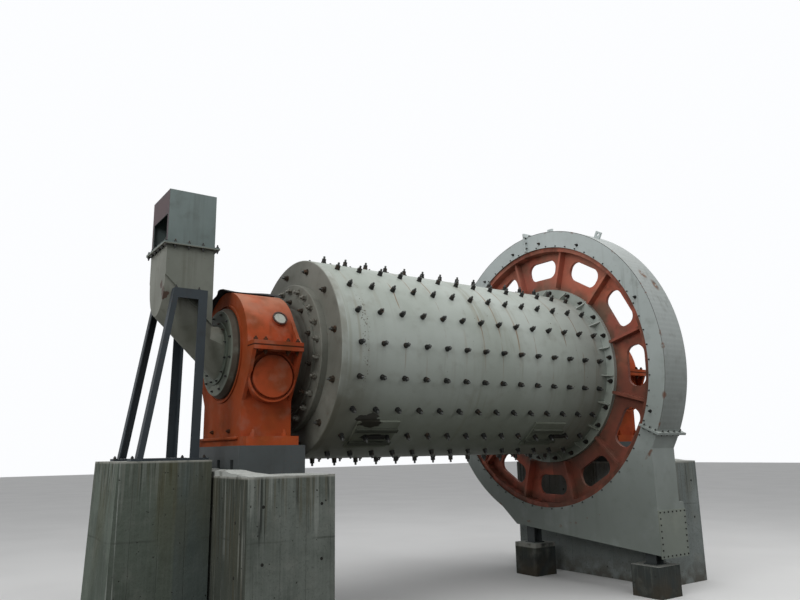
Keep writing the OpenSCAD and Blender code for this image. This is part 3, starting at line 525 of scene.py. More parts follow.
# %% Orange finishes
def gear_paint():
    f = Finish("gear_red", rough=0.55, shine=0.2)
    f.colour = f.mix((176, 94, 74), (154, 88, 74), f.cloud(0.4, 0.62, 1.5, 4.0))
    f.lay((196, 118, 92), f.cloud(0.52, 0.70, 2.6, 3.0, shift=3.0), 0.7)
    f.lay((112, 94, 78), f.cloud(0.46, 0.68, 3.4, 5.0, shift=6.0), 0.75)
    f.lay((78, 60, 46), f.cloud(0.5, 0.76, 7.0, 6.0), 0.7)
    r = f.radius()
    edge = f.both(f.step(r, 1.50, 1.60), f.cloud(0.3, 0.6, 8.0, 4.0, shift=5.0))
    f.lay((80, 52, 40), edge, 0.75)
    inner = f.both(f.step(r, 1.25, 1.10), f.cloud(0.25, 0.55, 8.0, 4.0, shift=8.0))
    f.lay((86, 76, 64), inner, 0.8)
    # Painted light: the top of the gear is made lighter and pinker.
    high = f.both(f.step(f.z, 3.2, 3.9), f.cloud(0.3, 0.6, 2.0, 4.0, shift=12.0))
    f.lay((190, 124, 104), high, 0.45)
    greasy = f.both(f.step(f.angle(), 62.0, 105.0), f.cloud(0.15, 0.55, 2.4, 5.0, shift=9.0))
    f.lay((82, 56, 46), greasy, 0.62)
    f.lay((38, 34, 30), f.step(r, 1.705, 1.72))
    f.raise_by(f.noise(22.0, 5.0), 0.0015)
    return f.done()


def casting_paint():
    f = Finish("orange_casting", rough=0.7, shine=0.05)
    weather(f, (168, 76, 44), (150, 66, 40), (94, 52, 34), streaks=0.55,
            dust=0.65, dust_colour=(172, 130, 108), rust=0.8, grain=0.0012)
    f.lay((112, 62, 36), f.cloud(0.44, 0.68, 4.2, 6.0, shift=6.0), 0.65)
    f.lay((150, 106, 88), f.cloud(0.48, 0.70, 6.5, 6.0, shift=8.0), 0.5)
    low = f.both(f.step(f.z, 2.15, 1.7), f.cloud(0.35, 0.65, 5.0, 4.0, shift=2.0))
    f.lay((170, 84, 42), low, 0.5)
    face = f.both(f.step(f.x, -0.236, -0.239), f.cloud(0.2, 0.5, 3.0, 4.0, shift=7.0))
    f.lay((132, 62, 30), face, 0.6)
    split = f.both(f.step(f.gap(f.z, AXIS_H), 0.008, 0.005), f.step(f.maths("ABSOLUTE", f.y), 0.585, 0.59))
    f.lay((48, 26, 18), split, 0.9)
    return f.done()


gear_red = gear_paint()
orange_casting = casting_paint()

# %% Guard finishes
def guard_paint(name, main, faded, stain):
    f = Finish(name, rough=0.55)
    weather(f, main, faded, stain, dust=0.25, dust_colour=(150, 148, 138))
    # Painted shade: the guard grows darker towards its bottom.
    low = f.both(f.step(f.z, 2.4, 0.8), f.cloud(0.05, 0.5, 2.2, 5.0, shift=3.0))
    f.lay((108, 115, 109), low, 0.85)
    r = f.radius()
    # Painted light: the top of the guard is made paler and bluer.
    f.lay((198, 206, 206), f.step(f.z, 3.3, 4.25), 0.55)
    seam = f.both(f.step(f.gap(r, GUARD_R - 0.004), 0.006, 0.001), f.step(f.z, 1.72, 1.75))
    f.lay((52, 46, 40), seam, 0.8)
    chips = f.both(f.step(f.gap(r, GUARD_R), 0.03, 0.004),
                   f.step(f.x, GUARD_X + 0.03, GUARD_X), f.cloud(0.58, 0.66, 9.0, 4.0, shift=4.0))
    knocks = f.both(f.either(f.near((3.975, -1.858, 2.631), (0.05, 0.03, 0.05)),
                             f.near((3.975, -1.819, 2.098), (0.05, 0.04, 0.06))),
                    f.cloud(0.42, 0.5, 30.0, 3.0))
    f.lay(RUST, f.either(chips, knocks), 0.8)
    scar = f.both(f.either(f.near((4.15, -1.56, 3.51), (0.07, 0.09, 0.10)),
                           f.near((4.25, -1.64, 3.38), (0.06, 0.07, 0.13))),
                  f.cloud(0.38, 0.50, 14.0, 4.0, shift=1.0))
    f.lay(f.mix((104, 72, 50), (70, 56, 44), f.cloud(0.45, 0.6, 30.0, 2.0)), scar)
    return f.done()


guard_cream = guard_paint("guard_cream", (172, 180, 178), (158, 166, 163), (116, 120, 114))
panel_cream = guard_paint("panel_cream", (166, 172, 156), (146, 152, 136), (102, 102, 88))

# %% [markdown]
# ## Steelwork, rubber and bolts
# The chute is beige grey, streaked and dusty, with painted shade on its near and far sides and painted shade
# mixed with stains on its lower part; its head box is a cooler, greener grey, and a dull dark red on its outer
# side. The portal frames are a dark blue grey. Bolts are dark steel with rust in the hollows, and the mat over
# the feed bearing is black rubber. Most of these differ only in their colours and their wear, so two short
# functions make them.

# %% Remaining finishes
def plain_paint(name, main, faded, stain, rough=0.6, **amounts):
    f = Finish(name, rough=rough)
    weather(f, main, faded, stain, **amounts)
    return f.done()


def chute_paint():
    f = Finish("chute_beige")
    weather(f, (130, 132, 123), (114, 116, 107), (80, 77, 64), streaks=0.6, dust=0.35, rust=0.6)
    spot = f.either(f.near((-0.93, -0.20, 3.00), (0.10, 0.085, 0.10)),
                    f.near((-0.93, -0.15, 3.07), (0.10, 0.06, 0.07)))
    scar = f.both(f.ragged(spot, f.noise(15.0, 5.0)), f.step(spot, 0.0, 0.1))
    # Painted shade with stains: the lower, curved part of the chute is darker and mottled.
    low = f.both(f.step(f.z, 2.95, 2.55), f.cloud(0.2, 0.6, 4.0, 4.0, shift=5.0))
    f.lay((84, 88, 74), low, 0.6)
    # Painted shade: the chute's near and far sides are darker.
    side = f.step(f.maths("ABSOLUTE", f.y), 0.250, 0.258)
    f.lay((88, 94, 86), side, 0.5)
    f.lay(DARK_RUST, scar, 0.9)
    return f.done()


def head_box_paint():
    f = Finish("head_box_grey")
    weather(f, (106, 118, 116), (92, 104, 102), (72, 76, 70), dust=0.3)
    outer = f.both(f.step(f.x, -0.8985, -0.8995), f.step(f.z, 3.455, 3.46))
    f.lay(f.mix((74, 56, 58), (60, 50, 54), f.cloud(0.4, 0.6, 5.0, 4.0)), outer)
    return f.done()


def bolt_steel(name, main, rusty, rough=0.45, metal=0.6):
    f = Finish(name, rough=rough, metal=metal)
    f.colour = f.mix(main, rusty, f.cloud(0.48, 0.7, 24.0, 4.0))
    f.raise_by(f.noise(90.0, 3.0), 0.0006)
    f.shader.inputs["Specular IOR Level"].default_value = 0.3 if metal else 0.1
    return f.done()


def rubber():
    f = Finish("black_rubber", rough=0.75)
    f.colour = f.mix((24, 24, 26), (52, 51, 50), f.cloud(0.5, 0.8, 7.0, 5.0))
    f.raise_by(f.noise(12.0, 3.0), 0.006)
    return f.done()


def seal_paint():
    f = Finish("seal_grey", rough=0.65, shine=0.2)
    weather(f, (108, 114, 104), (90, 96, 86), (56, 56, 46), streaks=0.8, rust=0.4)
    r = f.radius()
    # Painted shade: the ring's face grows darker towards its bore.
    inner = f.both(f.step(r, 0.385, 0.350), f.cloud(0.1, 0.45, 5.0, 5.0, shift=2.0))
    f.lay((66, 70, 60), inner, 0.7)
    patch = f.near((-0.31, 0.05, 2.135), (0.05, 0.26, 0.09))
    smudge = f.both(f.ragged(patch, f.noise(13.0, 5.0)), f.step(patch, 0.0, 0.1))
    f.lay((128, 132, 122), smudge, 0.45)
    edge = f.both(f.step(r, 0.400, 0.408), f.cloud(0.15, 0.45, 8.0, 4.0, shift=5.0))
    f.lay((58, 46, 36), edge, 0.85)
    return f.done()


chute_beige, head_box_grey, seal_grey = chute_paint(), head_box_paint(), seal_paint()
spout_grey = plain_paint("spout_grey", (84, 92, 82), (72, 79, 70), (50, 50, 42))
sole_grey = plain_paint("sole_grey", (66, 71, 72), (57, 61, 61), (46, 45, 40), dust=0.4,
                        dust_colour=(120, 114, 102), rust=0.6)
frame_blue = plain_paint("frame_blue", (41, 49, 54), (34, 41, 45), (29, 30, 29))
leg_grey = plain_paint("leg_grey", (72, 78, 79), (62, 67, 67), (44, 42, 38), rust=0.8)
bolt_dark = bolt_steel("bolt_dark", (44, 45, 44), (66, 54, 44))
bolt_end = bolt_steel("bolt_end", (84, 86, 84), (54, 50, 44))
nut_bright = bolt_steel("nut_bright", (118, 117, 109), (66, 60, 50), rough=0.5, metal=0.45)
bolt_brown = bolt_steel("bolt_brown", (52, 46, 38), (84, 62, 46), rough=0.6, metal=0.3)
bolt_rusty = bolt_steel("bolt_rusty", (70, 46, 34), (96, 58, 38), rough=0.8, metal=0.0)
black_rubber = rubber()
hole_dark = bolt_steel("hole_dark", (40, 40, 38), (54, 52, 48), rough=0.9, metal=0.0)
rim_dark = bolt_steel("rim_dark", (58, 34, 26), (84, 48, 34), rough=0.6, metal=0.1)
pane_painted_reflection = plain_paint("pane_painted_reflection", (164, 168, 158), (142, 146, 136), (96, 94, 84),
                         rough=0.2, rust=0.1)

# %% [markdown]
# ## Dress the CAD nodes
# Each rigid piece keeps its CAD mesh and only takes a new material.

# %% Materials on the CAD nodes
DRESS = {
    pier_concrete: ["feed_pier"],
    discharge_concrete: ["discharge_pier"],
    pedestal_concrete: ["chute_pedestal"],
    footing_concrete_shaded: ["footing_near", "footing_far"],
    sole_grey: ["feed_sole_plate", "discharge_sole_plate"],
    orange_casting: ["feed_bearing_base", "discharge_bearing_base", "feed_bearing_cap",
                     "discharge_bearing_cap"],
    seal_grey: ["feed_seal_ring", "discharge_seal_ring"],
    black_rubber: ["bearing_mat"],
    head_grey: ["feed_head", "discharge_head", "feed_trunnion", "discharge_trunnion"],
    shell_cream: ["mill_shell", "shell_flange"],
    manhole_steel: ["manhole_cover_feed", "manhole_cover_discharge"],
    gear_red: ["girth_gear"],
    guard_cream: ["guard_crown_near", "guard_crown_far", "guard_lower"],
    panel_cream: ["inspection_panel"],
    leg_grey: ["guard_leg_near", "guard_leg_far"],
    head_box_grey: ["chute_head_box"],
    chute_beige: ["chute_body"],
    spout_grey: ["chute_spout"],
    frame_blue: ["chute_frame_near", "chute_frame_far", "frame_base_bars"],
}
for material, names in DRESS.items():
    for name in names:
        NODES[name].data.materials.clear()
        NODES[name].data.materials.append(material)
print("dressed", sum(map(len, DRESS.values())), "of", len(NODES), "nodes")

floor_look = Finish("floor_pale", rough=0.9)
pale = floor_look.mix((226, 226, 225), (221, 221, 220), floor_look.cloud(0.3, 0.7, 0.6, 2.0))
floor_look.colour = floor_look.mix((92, 90, 86), pale, seen_directly(floor_look.tree))
floor.data.materials.append(floor_look.done())

# %% [markdown]
# ## Bolts
# A bolt is a stack of short turned pieces: washer, nut and stud. create_cone makes each of them, from
# a cylinder to a hexagon, and one finished bolt is then copied to every place in its pattern. Each
# place is a matrix whose Z axis points the way that the bolt stands. All the copies of one pattern
# are joined in one piece, which keeps the list of objects short.

# %% Bolt tools
def pattern(bm):
    """Turns a bmesh into a mesh that is copied to many places."""
    mesh = bpy.data.meshes.new("pattern")
    bm.to_mesh(mesh)
    bm.free()
    return mesh


def stack(*parts):
    """A mesh of turned pieces standing on each other along +Z: (radius, top radius, height, sides)."""
    bm, z = bmesh.new(), 0.0
    for radius, top_radius, height, sides in parts:
        bmesh.ops.create_cone(bm, cap_ends=True, segments=sides, radius1=radius, radius2=top_radius,
                              depth=height, matrix=Matrix.Translation((0, 0, z + height / 2)))
        z += height
    return pattern(bm)


def nut(size, stud, washer=1.35):
    """A washer, a hexagon nut and a stud's end; size is half the nut's width."""
    return stack((size * washer, size * washer, size * 0.25, 14), (size * 1.12, size * 1.05, size * 1.1, 6),
                 (size * 0.6, size * 0.52, stud, 10))


def standing(place, out, along=(1, 0, 0)):
    """A matrix at a place whose Z points out and whose X lies as near as it can to a direction."""
    z = Vector(out).normalized()
    y = z.cross(Vector(along)).normalized()
    matrix = Matrix((y.cross(z), y, z)).transposed().to_4x4()
    matrix.translation = Vector(place)
    return matrix


def raised(places, height):
    """The same places, further out by a height."""
    return [place @ Matrix.Translation((0, 0, height)) for place in places]


def spread(low, high, steps):
    """Evenly spaced values from low to high."""
    return [low + i * (high - low) / steps for i in range(steps + 1)]


def on_axis(x, radius, degrees):
    """A point at a radius from the mill's axis, its angle measured from the top towards the near side."""
    a = math.radians(degrees)
    return Vector((x, -radius * math.sin(a), AXIS_H + radius * math.cos(a)))


def outwards(degrees):
    a = math.radians(degrees)
    return Vector((0, -math.sin(a), math.cos(a)))


def add_piece(name, bm, body, material, smooth=None):
    """Turns a bmesh into a piece that rides on a body."""
    mesh = bpy.data.meshes.new(name)
    bm.to_mesh(mesh)
    bm.free()
    if smooth:
        mesh.shade_smooth()
        mesh.set_sharp_from_angle(angle=math.radians(smooth))
    piece = new_object(name, mesh)
    mesh.materials.append(material)
    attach(piece, body)
    print(name, "-", len(mesh.polygons), "faces on", body)
    return piece


def repeat(name, mesh, places, body, material):
    """Copies a mesh to every place and makes one piece of the lot."""
    bm = bmesh.new()
    for place in places:
        first = len(bm.verts)
        bm.from_mesh(mesh)
        bm.verts.ensure_lookup_table()
        bmesh.ops.transform(bm, matrix=place, verts=bm.verts[first:])
    return add_piece(name, bm, body, material)

# %% [markdown]
# ### Bevels, extrusions and open sheets
# Three bmesh steps come back several times: rounding every edge of a block, pulling faces out into a
# thickness, and making an open sheet look at the sky. As functions they are written once.

# %% Shape tools
def bevel_all(bm, offset, segments):
    bmesh.ops.bevel(bm, geom=bm.edges[:], offset=offset, offset_type="OFFSET", segments=segments,
                    profile=0.5, affect="EDGES", material=-1)


def extruded(bm, faces):
    """Extrudes faces and gives back the points of the new copy."""
    grown = bmesh.ops.extrude_face_region(bm, geom=faces)["geom"]
    return [part for part in grown if isinstance(part, bmesh.types.BMVert)]


def face_the_sky(bm):
    bmesh.ops.recalc_face_normals(bm, faces=bm.faces[:])
    if sum(f.normal.z for f in bm.faces) < 0:
        bmesh.ops.reverse_faces(bm, faces=bm.faces[:])

# %% [markdown]
# ### Liner bolts
# Inside the drum, cast liners are held by long bolts. Outside, each shows a cup washer, a nut and the
# bolt's bare end. They stand on a regular grid of twenty rows by fourteen rings. One row goes through
# the two manhole covers, and at each cover a dark strap joins two of its bolts. An Array modifier
# could repeat one bolt over the shell. A loop is used instead, because a bolt on a cover stands
# higher and every nut was tightened to its own angle.

# %% Liner bolts on the shell
MANHOLE_ROW, STRAP_RINGS, COVER_HALF = 6, (1.5, 11.5), 0.26
ON_SHELL, ON_COVER, ON_STRAP = SHELL_R - 0.001, SHELL_R + 0.021, SHELL_R + 0.032

liner_nut = stack((0.0275, 0.0265, 0.008, 14), (0.0245, 0.0240, 0.010, 12), (0.0245, 0.0240, 0.028, 6))
liner_end = stack((0.0118, 0.0110, 0.024, 10), (0.0110, 0.0085, 0.003, 10))
manholes = [(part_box(n)[0].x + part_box(n)[1].x) / 2 for n in ("manhole_cover_feed", "manhole_cover_discharge")]
places = []
for ring in range(RINGS):
    for row in range(ROWS):
        x, angle = FIRST_RING_X + ring * RING_STEP, FIRST_ROW + row * 360 / ROWS
        on_cover = row == MANHOLE_ROW and min(abs(x - m) for m in manholes) < COVER_HALF
        foot = on_axis(x, ON_COVER if on_cover else ON_SHELL, angle)
        places.append(standing(foot, outwards(angle)) @ Matrix.Rotation(ring + 2.4 * row, 4, "Z"))
repeat("shell_liner_nuts", liner_nut, places, "drum", bolt_dark)
repeat("shell_liner_bolt_ends", liner_end, raised(places, 0.046), "drum", bolt_end)

strap = bmesh.new()
bmesh.ops.create_cube(strap, size=1.0)
bmesh.ops.scale(strap, vec=(0.196, 0.046, 0.020), verts=strap.verts[:])
bevel_all(strap, 0.004, 2)
angle = FIRST_ROW + MANHOLE_ROW * 360 / ROWS
strapped = [standing(on_axis(FIRST_RING_X + ring * RING_STEP, ON_STRAP, angle), outwards(angle))
            for ring in STRAP_RINGS]
repeat("manhole_straps", pattern(strap), strapped, "drum", hole_dark)

# %% [markdown]
# ### Bolts of the heads and the gear
# Each head carries a circle of liner bolts near its rim, and inside it two circles that hold the
# trunnion, one through its flange and one round its boss. The two heads are alike, so one function
# gives the places on both. The gear is held by a circle of twenty-four bolts through the shell's
# flange; one that would stand under a gusset moves aside, to where a spanner reaches it.

# %% Bolts on the two heads
LINER_CIRCLE, FLANGE_CIRCLE, BOSS_CIRCLE = 0.885, 0.672, 0.56


def head_circle(out, radius, count, first, turn=0.0):
    """A circle of places on both heads, a step out from their faces; turn twists each bolt."""
    angles = [first + i * 360 / count for i in range(count)]
    return [standing(on_axis(x + way * out, radius, a), (way, 0, 0), outwards(a - turn))
            for x, way in ((HEAD_X, -1), (FAR_HEAD_X, 1)) for a in angles]


heads = head_circle(0.0, LINER_CIRCLE, 12, 19)
repeat("head_liner_nuts", stack((0.033, 0.032, 0.008, 16), (0.0250, 0.0245, 0.028, 6)), heads, "drum", bolt_brown)
repeat("head_liner_bolt_ends", liner_end, raised(heads, 0.036), "drum", bolt_end)
flange_nut = stack((0.034, 0.034, 0.006, 16), (0.029, 0.028, 0.034, 6), (0.0145, 0.0130, 0.020, 10))
repeat("trunnion_flange_nuts", flange_nut, head_circle(0.07, FLANGE_CIRCLE, 24, 6, turn=6), "drum", nut_bright)
boss = head_circle(0.092, BOSS_CIRCLE, 12, 12, turn=12)
repeat("trunnion_boss_bolts", nut(0.019, 0.022), boss, "drum", bolt_brown)

# %% Bolts through the gear flange
GUSSETS, FIRST_GUSSET, GUSSET_ROOM, GEAR_CIRCLE = 20, 24.25, 2.2, 1.062


def past(angle, gusset):
    """Degrees from a gusset to an angle, the short way round."""
    return (angle - gusset + 180) % 360 - 180


gussets = [FIRST_GUSSET + i * 360 / GUSSETS for i in range(GUSSETS)]
flange_places = []
for i in range(24):
    angle = 9.7 + 15 * i
    nearest = min(gussets, key=lambda gusset: abs(past(angle, gusset)))
    if abs(past(angle, nearest)) < GUSSET_ROOM:
        angle = nearest + 2.6
    flange_places.append(standing(on_axis(FLANGE_X, GEAR_CIRCLE, angle), (-1, 0, 0), outwards(angle)))
repeat("gear_flange_bolts", nut(0.021, 0.028), flange_places, "drum", bolt_dark)

# %% [markdown]
# ### Guard fittings
# Small studs ring the opening of the guard's front plate, a few larger bolts hold its stiffeners, and
# every joint flange is bolted. The inspection panel is screwed on all round. The studs are spread
# evenly round the whole circle and then left out where a joint crosses it, which is shorter than
# counting each stretch by itself.

# %% Studs and bolts on the guard
STUDS, STUD_R, STIFFENER_R = 62, 1.667, 1.72


def on_front(radius, angles):
    return [standing(on_axis(GUARD_X, radius, a), (-1, 0, 0), outwards(a)) for a in angles]


all_round = [-180 + (i + 0.5) * 360 / STUDS for i in range(STUDS)]
clear = [a for a in all_round if abs(a + GUARD_TOP_JOINT) > 1.5 and abs(abs(a) - GUARD_SPLIT) > 1.5]
stiffened = (4.6, 26.8, 65.2, 109, -12, -34, -72, -109)
repeat("guard_edge_studs", nut(0.0075, 0.007), on_front(STUD_R, clear), "foundation", bolt_end)
repeat("guard_plate_bolts", nut(0.014, 0.02), on_front(STIFFENER_R, stiffened), "foundation", bolt_dark)

FLANGE_HALF = 0.0118
joint_places = []
for joint in (-GUARD_TOP_JOINT, GUARD_SPLIT, -GUARD_SPLIT):
    a = math.radians(joint)
    tangent = Vector((0, -math.cos(a), -math.sin(a)))
    spots = [on_axis(GUARD_X + w, GUARD_R + 0.026, joint) for w in (0.05, 0.15, 0.25, 0.35)]
    sides = (GUARD_X - 0.026, GUARD_X + GUARD_W + 0.026)
    spots += [on_axis(x, r, joint) for x in sides for r in (1.70, 1.775, 1.85)]
    for spot in spots:
        for way in (-1, 1):
            joint_places.append(standing(spot + tangent * way * FLANGE_HALF, tangent * way))
repeat("guard_joint_bolts", nut(0.010, 0.009), joint_places, "foundation", bolt_end)

# %% Screws of the inspection panel
SCREW_INSET = 0.022
low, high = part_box("inspection_panel")
xs = spread(low.x + SCREW_INSET, high.x - SCREW_INSET, 6)
zs = spread(low.z + SCREW_INSET, high.z - SCREW_INSET, 7)
spots = [(x, z) for x in xs for z in (zs[0], zs[-1])] + [(x, z) for z in zs[1:-1] for x in (xs[0], xs[-1])]
screws = [standing((x, low.y, z), (0, -1, 0)) for x, z in spots]
repeat("panel_screws", stack((0.0090, 0.0080, 0.006, 12)), screws, "foundation", hole_dark)

# %% [markdown]
# ### Bearing fittings
# Each cap is held down on its base by eight bolts through the split flanges, and the base by four
# bolts through its foot. A ledge with two small bolts above it crosses the foot's outer face. A round
# port on the cap is closed by an opaque pale disc, a painted reflection on its glass. Its rim is a ring,
# so an outline of its section is spun round the port's axis.

# %% Bearing bolts
BEARINGS = ((0.0, 1), (SPAN, -1))
CAP_BOLT_Y, CAP_FLANGE_T = 0.685, 0.04
FOOT_BOLT_Y, FOOT_TOP = 0.55, 1.71
LEDGE, LEDGE_X, LEDGE_Z = (0.034, 0.96, 0.028), 0.270, 1.696

bearing_nuts, flange_nuts, small_heads = [], [], []
for middle, inwards in BEARINGS:
    for side in (-1, 1):
        for x in (-0.205, -0.11, 0.11, 0.205):
            for way in (1, -1):
                seat = (middle + x, side * CAP_BOLT_Y, AXIS_H + way * CAP_FLANGE_T)
                flange_nuts.append(standing(seat, (0, 0, way)))
        bearing_nuts += [standing((middle + x, side * FOOT_BOLT_Y, FOOT_TOP), (0, 0, 1)) for x in (-0.15, 0.15)]
    outer = (-inwards, 0, 0)
    small_heads += [standing((middle - inwards * 0.24, y, 1.765), outer, (0, 1, 0)) for y in (-0.213, 0.213)]
repeat("bearing_nuts", nut(0.024, 0.028), bearing_nuts, "foundation", orange_casting)
repeat("bearing_flange_nuts", nut(0.018, 0.014), flange_nuts, "foundation", bolt_rusty)
repeat("bearing_side_bolts", nut(0.015, 0.012), small_heads, "foundation", bolt_rusty)

ledges = bmesh.new()
for middle, inwards in BEARINGS:
    made = bmesh.ops.create_cube(ledges, size=1.0)["verts"]
    bmesh.ops.scale(ledges, vec=LEDGE, verts=made)
    bmesh.ops.translate(ledges, vec=(middle - inwards * LEDGE_X, 0, LEDGE_Z), verts=made)
bevel_all(ledges, 0.009, 3)
add_piece("bearing_ledges", ledges, "foundation", orange_casting, smooth=40)

# %% Inspection ports and seal ring bolts
PORT_X, PORT_R, PORT_ANGLE = 0.09, 0.606, 62

port_seats = [standing(on_axis(middle + inwards * PORT_X, PORT_R, PORT_ANGLE), outwards(PORT_ANGLE))
              for middle, inwards in BEARINGS]
rim = bmesh.new()
corners = ((0.056, 0.0), (0.072, 0.0), (0.072, 0.012), (0.060, 0.014), (0.056, 0.004))
profile = [rim.verts.new((r, 0, z)) for r, z in corners]
edges = [rim.edges.new(pair) for pair in zip(profile, profile[1:] + profile[:1])]
bmesh.ops.spin(rim, geom=profile + edges, cent=(0, 0, 0), axis=(0, 0, 1), angle=math.tau, steps=32,
               use_merge=True)
bmesh.ops.recalc_face_normals(rim, faces=rim.faces[:])
repeat("port_rims", pattern(rim), port_seats, "foundation", rim_dark)
pane_seats = raised(port_seats, 0.002)
repeat("port_panes", stack((0.057, 0.057, 0.003, 32)), pane_seats, "foundation", pane_painted_reflection)

ring_faces = ((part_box("feed_seal_ring")[0].x, -1), (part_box("discharge_seal_ring")[1].x, 1))
ring_spots = [standing(on_axis(x, 0.365, 12 + 30 * i), (way, 0, 0), (0, 0, 1))
              for x, way in ring_faces for i in range(12)]
repeat("seal_ring_bolts", nut(0.010, 0.008), ring_spots, "foundation", bolt_dark)

# %% [markdown]
# ### Chute fittings
# Bolts stand round the chute's flange, on the frames' top bars, round the spout's end plate and
# through the base bars. Where they follow an edge, their places are measured in from the box of the
# CAD piece.

# %% Chute bolts
FLANGE_TOP, FLANGE_T, FLANGE_EDGE = 3.445, 0.02, 0.019

low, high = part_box("chute_head_box")
ys = spread(low.y + FLANGE_EDGE, high.y - FLANGE_EDGE, 5)
spots = [(x, y) for x in (-0.834, -0.707, -0.577) for y in (ys[0], ys[-1])]
spots += [(x, y) for x in (low.x + FLANGE_EDGE, high.x - FLANGE_EDGE) for y in ys]
chute_places = [standing((x, y, FLANGE_TOP), (0, 0, 1)) for x, y in spots]
chute_places += [standing((x, y, FLANGE_TOP - FLANGE_T), (0, 0, -1)) for x, y in spots]
chute_places += [standing((x, side * 0.308, 3.015), (0, 0, 1)) for x in (-0.813, -0.605) for side in (-1, 1)]
repeat("chute_flange_bolts", nut(0.012, 0.016), chute_places, "foundation", bolt_dark)

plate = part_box("chute_spout")[0].x
plate_spots = [standing(on_axis(plate, 0.279, 15 + 30 * i), (-1, 0, 0), (0, 0, 1)) for i in range(12)]
repeat("spout_plate_bolts", nut(0.009, 0.010), plate_spots, "foundation", bolt_dark)
bar_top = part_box("frame_base_bars")[1].z
anchors = [standing((x, side * 0.306, bar_top), (0, 0, 1)) for x in (-1.10, -0.495) for side in (-1, 1)]
repeat("frame_anchor_bolts", nut(0.012, 0.008), anchors, "foundation", bolt_dark)

# %% [markdown]
# ### Portal frames
# The two frames that carry the chute are angle bar. The slanted leg shows the narrow side of its bar
# and the upright leg the wide one, so each frame is drawn again here, leg by leg, inside the space of
# its CAD node: a thin upright plate with the frame's outline, and a strip along its outer edge that
# makes the angle's other side. Both are one face, extruded.

# %% Portal frames of angle bar
PLATE_T, UPRIGHT_W, TOP_W = 0.009, 0.080, 0.088
SLANT_W = {"near": 0.050, "far": 0.080}
FRAME_Y, FRAME_IN_Y = 0.350, 0.268
FOOT_Z, TOP_Z = 1.5355, 3.0148
SLANT_FOOT, SLANT_TOP, UPRIGHT_FOOT, UPRIGHT_TOP = -1.072, -0.838, -0.556, -0.538


def portal(bm, slant_w, upright_w, top_w, low_y, high_y):
    """The frame's outline with its legs and top bar at the given widths, from one y to another."""
    lean = (SLANT_TOP - SLANT_FOOT) / (TOP_Z - FOOT_Z)
    tilt = (UPRIGHT_TOP - UPRIGHT_FOOT) / (TOP_Z - FOOT_Z)
    outside = [(SLANT_FOOT, FOOT_Z), (SLANT_TOP, TOP_Z), (UPRIGHT_TOP, TOP_Z), (UPRIGHT_FOOT, FOOT_Z)]
    inside = [(UPRIGHT_FOOT - upright_w, FOOT_Z), (UPRIGHT_TOP - upright_w - tilt * top_w, TOP_Z - top_w),
              (SLANT_TOP - lean * top_w + slant_w, TOP_Z - top_w), (SLANT_FOOT + slant_w, FOOT_Z)]
    face = bm.faces.new([bm.verts.new((x, low_y, z)) for x, z in outside + inside])
    bmesh.ops.translate(bm, vec=(0, high_y - low_y, 0), verts=extruded(bm, [face]))


for name, side in (("near", -1), ("far", 1)):
    frames = bmesh.new()
    edge, seam, inner = side * FRAME_Y, side * (FRAME_Y - PLATE_T), side * FRAME_IN_Y
    portal(frames, SLANT_W[name], UPRIGHT_W, TOP_W, *sorted((edge, seam)))
    portal(frames, PLATE_T, PLATE_T, PLATE_T, *sorted((seam, inner)))
    bmesh.ops.recalc_face_normals(frames, faces=frames.faces[:])
    frame_piece = add_piece("portal_frame_" + name, frames, "foundation", frame_blue)
    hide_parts("chute_frame_" + name)

# %% [markdown]
# ### Mortar
# The bearings' sole plates were bedded in mortar, which still lies round them on the piers as a pale,
# uneven layer, thin at the long sides and heaped up at the outer end. It could be sculpted, but waves
# of a few lengths raise it well enough and give the same shape each run. It starts as a flat grid;
# its points are raised, and then the sheet is extruded and its copy pressed flat on the pier.

# %% Mortar round the sole plates
BED_EDGE, UNDER_PLATE = 0.006, 0.035


def mortar_paint():
    f = Finish("mortar_pale", rough=0.95, shine=0.1)
    f.colour = f.mix((176, 179, 174), (132, 134, 128), f.cloud(0.5, 0.72, 9.0, 5.0))
    f.raise_by(f.noise(34.0, 4.0), 0.004)
    return f.done()


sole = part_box("feed_sole_plate")
bed = bmesh.new()
for middle, inwards in BEARINGS:
    made = bmesh.ops.create_grid(bed, x_segments=24, y_segments=74, size=0.5)["verts"]
    for v in made:
        x = pier[0].x + BED_EDGE + (v.co.x + 0.5) * (pier[1].x - pier[0].x - 2 * BED_EDGE)
        y = v.co.y * (pier[1].y - pier[0].y - 2 * BED_EDGE)
        off_y = max(abs(y) - sole[1].y, 0.0)
        to_edge = min(x - pier[0].x, pier[1].x - x, y - pier[0].y, pier[1].y - y)
        wave = 0.5 + 0.25 * math.sin(13 * x + 9 * y) + 0.25 * math.sin(31 * y + 4 * x + middle)
        outer = min(1.0, max(0.0, (-x - 0.12) / 0.17))
        mound = max(0.0, 0.050 - 0.09 * off_y) * (0.7 + 0.3 * wave) * outer
        thickness = (0.004 + 0.004 * wave + mound) * min(1.0, 0.6 + to_edge / 0.03)
        v.co = (middle + inwards * x, inwards * y, pier[1].z + thickness)


def under_plate(centre):
    off_x = min(abs(centre.x), abs(centre.x - SPAN))
    return off_x < sole[1].x - UNDER_PLATE and abs(centre.y) < sole[1].y - UNDER_PLATE


hidden = [f for f in bed.faces if under_plate(f.calc_center_median())]
bmesh.ops.delete(bed, geom=hidden, context="FACES")
face_the_sky(bed)
for v in extruded(bed, bed.faces[:]):
    v.co.z = pier[1].z + 0.0003
bmesh.ops.recalc_face_normals(bed, faces=bed.faces[:])
add_piece("mortar_beds", bed, "foundation", mortar_paint(), smooth=60)
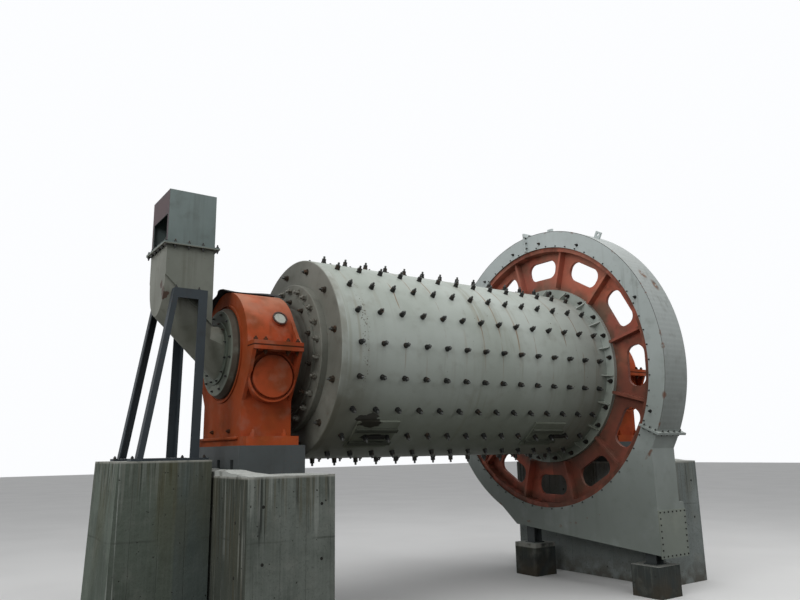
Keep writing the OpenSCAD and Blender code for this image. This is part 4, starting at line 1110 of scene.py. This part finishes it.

# %% [markdown]
# ### Tie holes
# The shuttering's ties left small dark holes in the piers, in upright pairs. They are too small to cut: a thin
# dark disc on the face, the holes' shade painted on, looks the same and leaves the pier's mesh alone.

# %% Tie holes
PIER_Y = 1.18
ties = [((x, side * PIER_Y, z), (0, side, 0))
        for x in (-0.31, 0.20, SPAN - 0.20, SPAN + 0.31) for z in (0.73, 1.155) for side in (-1, 1)]
ties += [((pier[0].x, y, z), (-1, 0, 0)) for y in (-0.95, 0.95) for z in (0.62, 1.03)]
ties += [((far_pier[0].x, y, z), (-1, 0, 0)) for y in (-0.9, -0.3, 0.3, 0.9) for z in (0.62, 1.03)]
holes = [standing(place, out, (0, 0, 1)) for place, out in ties]
repeat("tie_holes", stack((0.013, 0.012, 0.0015, 16)), holes, "foundation", hole_dark)

# %% [markdown]
# ### The rubber mat
# A sheet of black rubber lies loosely over the crown of the feed bearing: it follows the cap at the
# near side, but it is too stiff to follow it at the far side, where its torn end stands off. A cloth
# simulation could drape it. A sheet as stiff as this takes one plain curve and a few low folds, so
# its rows of points are laid along the cap, and solidify gives it its thickness.

# %% The rubber mat
MAT_T, MAT_W, MAT_START, MAT_REACH = 0.006, 0.57, -0.155, 0.555
CAP_R, CREST = 0.590, 0.15
ACROSS, ALONG = 36, 24

crest_z = math.sqrt(CAP_R ** 2 - CREST ** 2)
mat = bmesh.new()
rows = []
for i in range(ACROSS + 1):
    share = i / ACROSS
    row = []
    for k in range(ALONG + 1):
        x = -MAT_W / 2 + MAT_W * k / ALONG
        torn = 0.018 * math.sin(17 * x + 1) + 0.012 * math.sin(41 * x)
        reach = MAT_START + (MAT_REACH + torn) * share
        fold = 0.62 + 0.38 * math.sin(11 * x - 6.5 * share + 0.6)
        lift = 0.004 + 0.034 * math.sin(math.pi * min(1.0, 1.25 * share + 0.06)) * fold
        if reach < CREST:
            y, z = reach, math.sqrt(CAP_R ** 2 - reach ** 2) + lift
        else:
            run = reach - CREST
            y, z = reach - 0.03 * run, crest_z + lift - CREST / crest_z * run - 0.75 * run ** 2
        inset = 0.008 * math.sin(23 * share + 2) * (1 if k == 0 else -1 if k == ALONG else 0)
        row.append(mat.verts.new((x + inset, y, AXIS_H + z)))
    rows.append(row)
for one, other in zip(rows, rows[1:]):
    for k in range(ALONG):
        mat.faces.new((one[k], one[k + 1], other[k + 1], other[k]))
face_the_sky(mat)
bmesh.ops.solidify(mat, geom=mat.faces[:], thickness=-MAT_T)
draped = add_piece("draped_mat", mat, "foundation", black_rubber, smooth=50)
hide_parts("bearing_mat")

# %% [markdown]
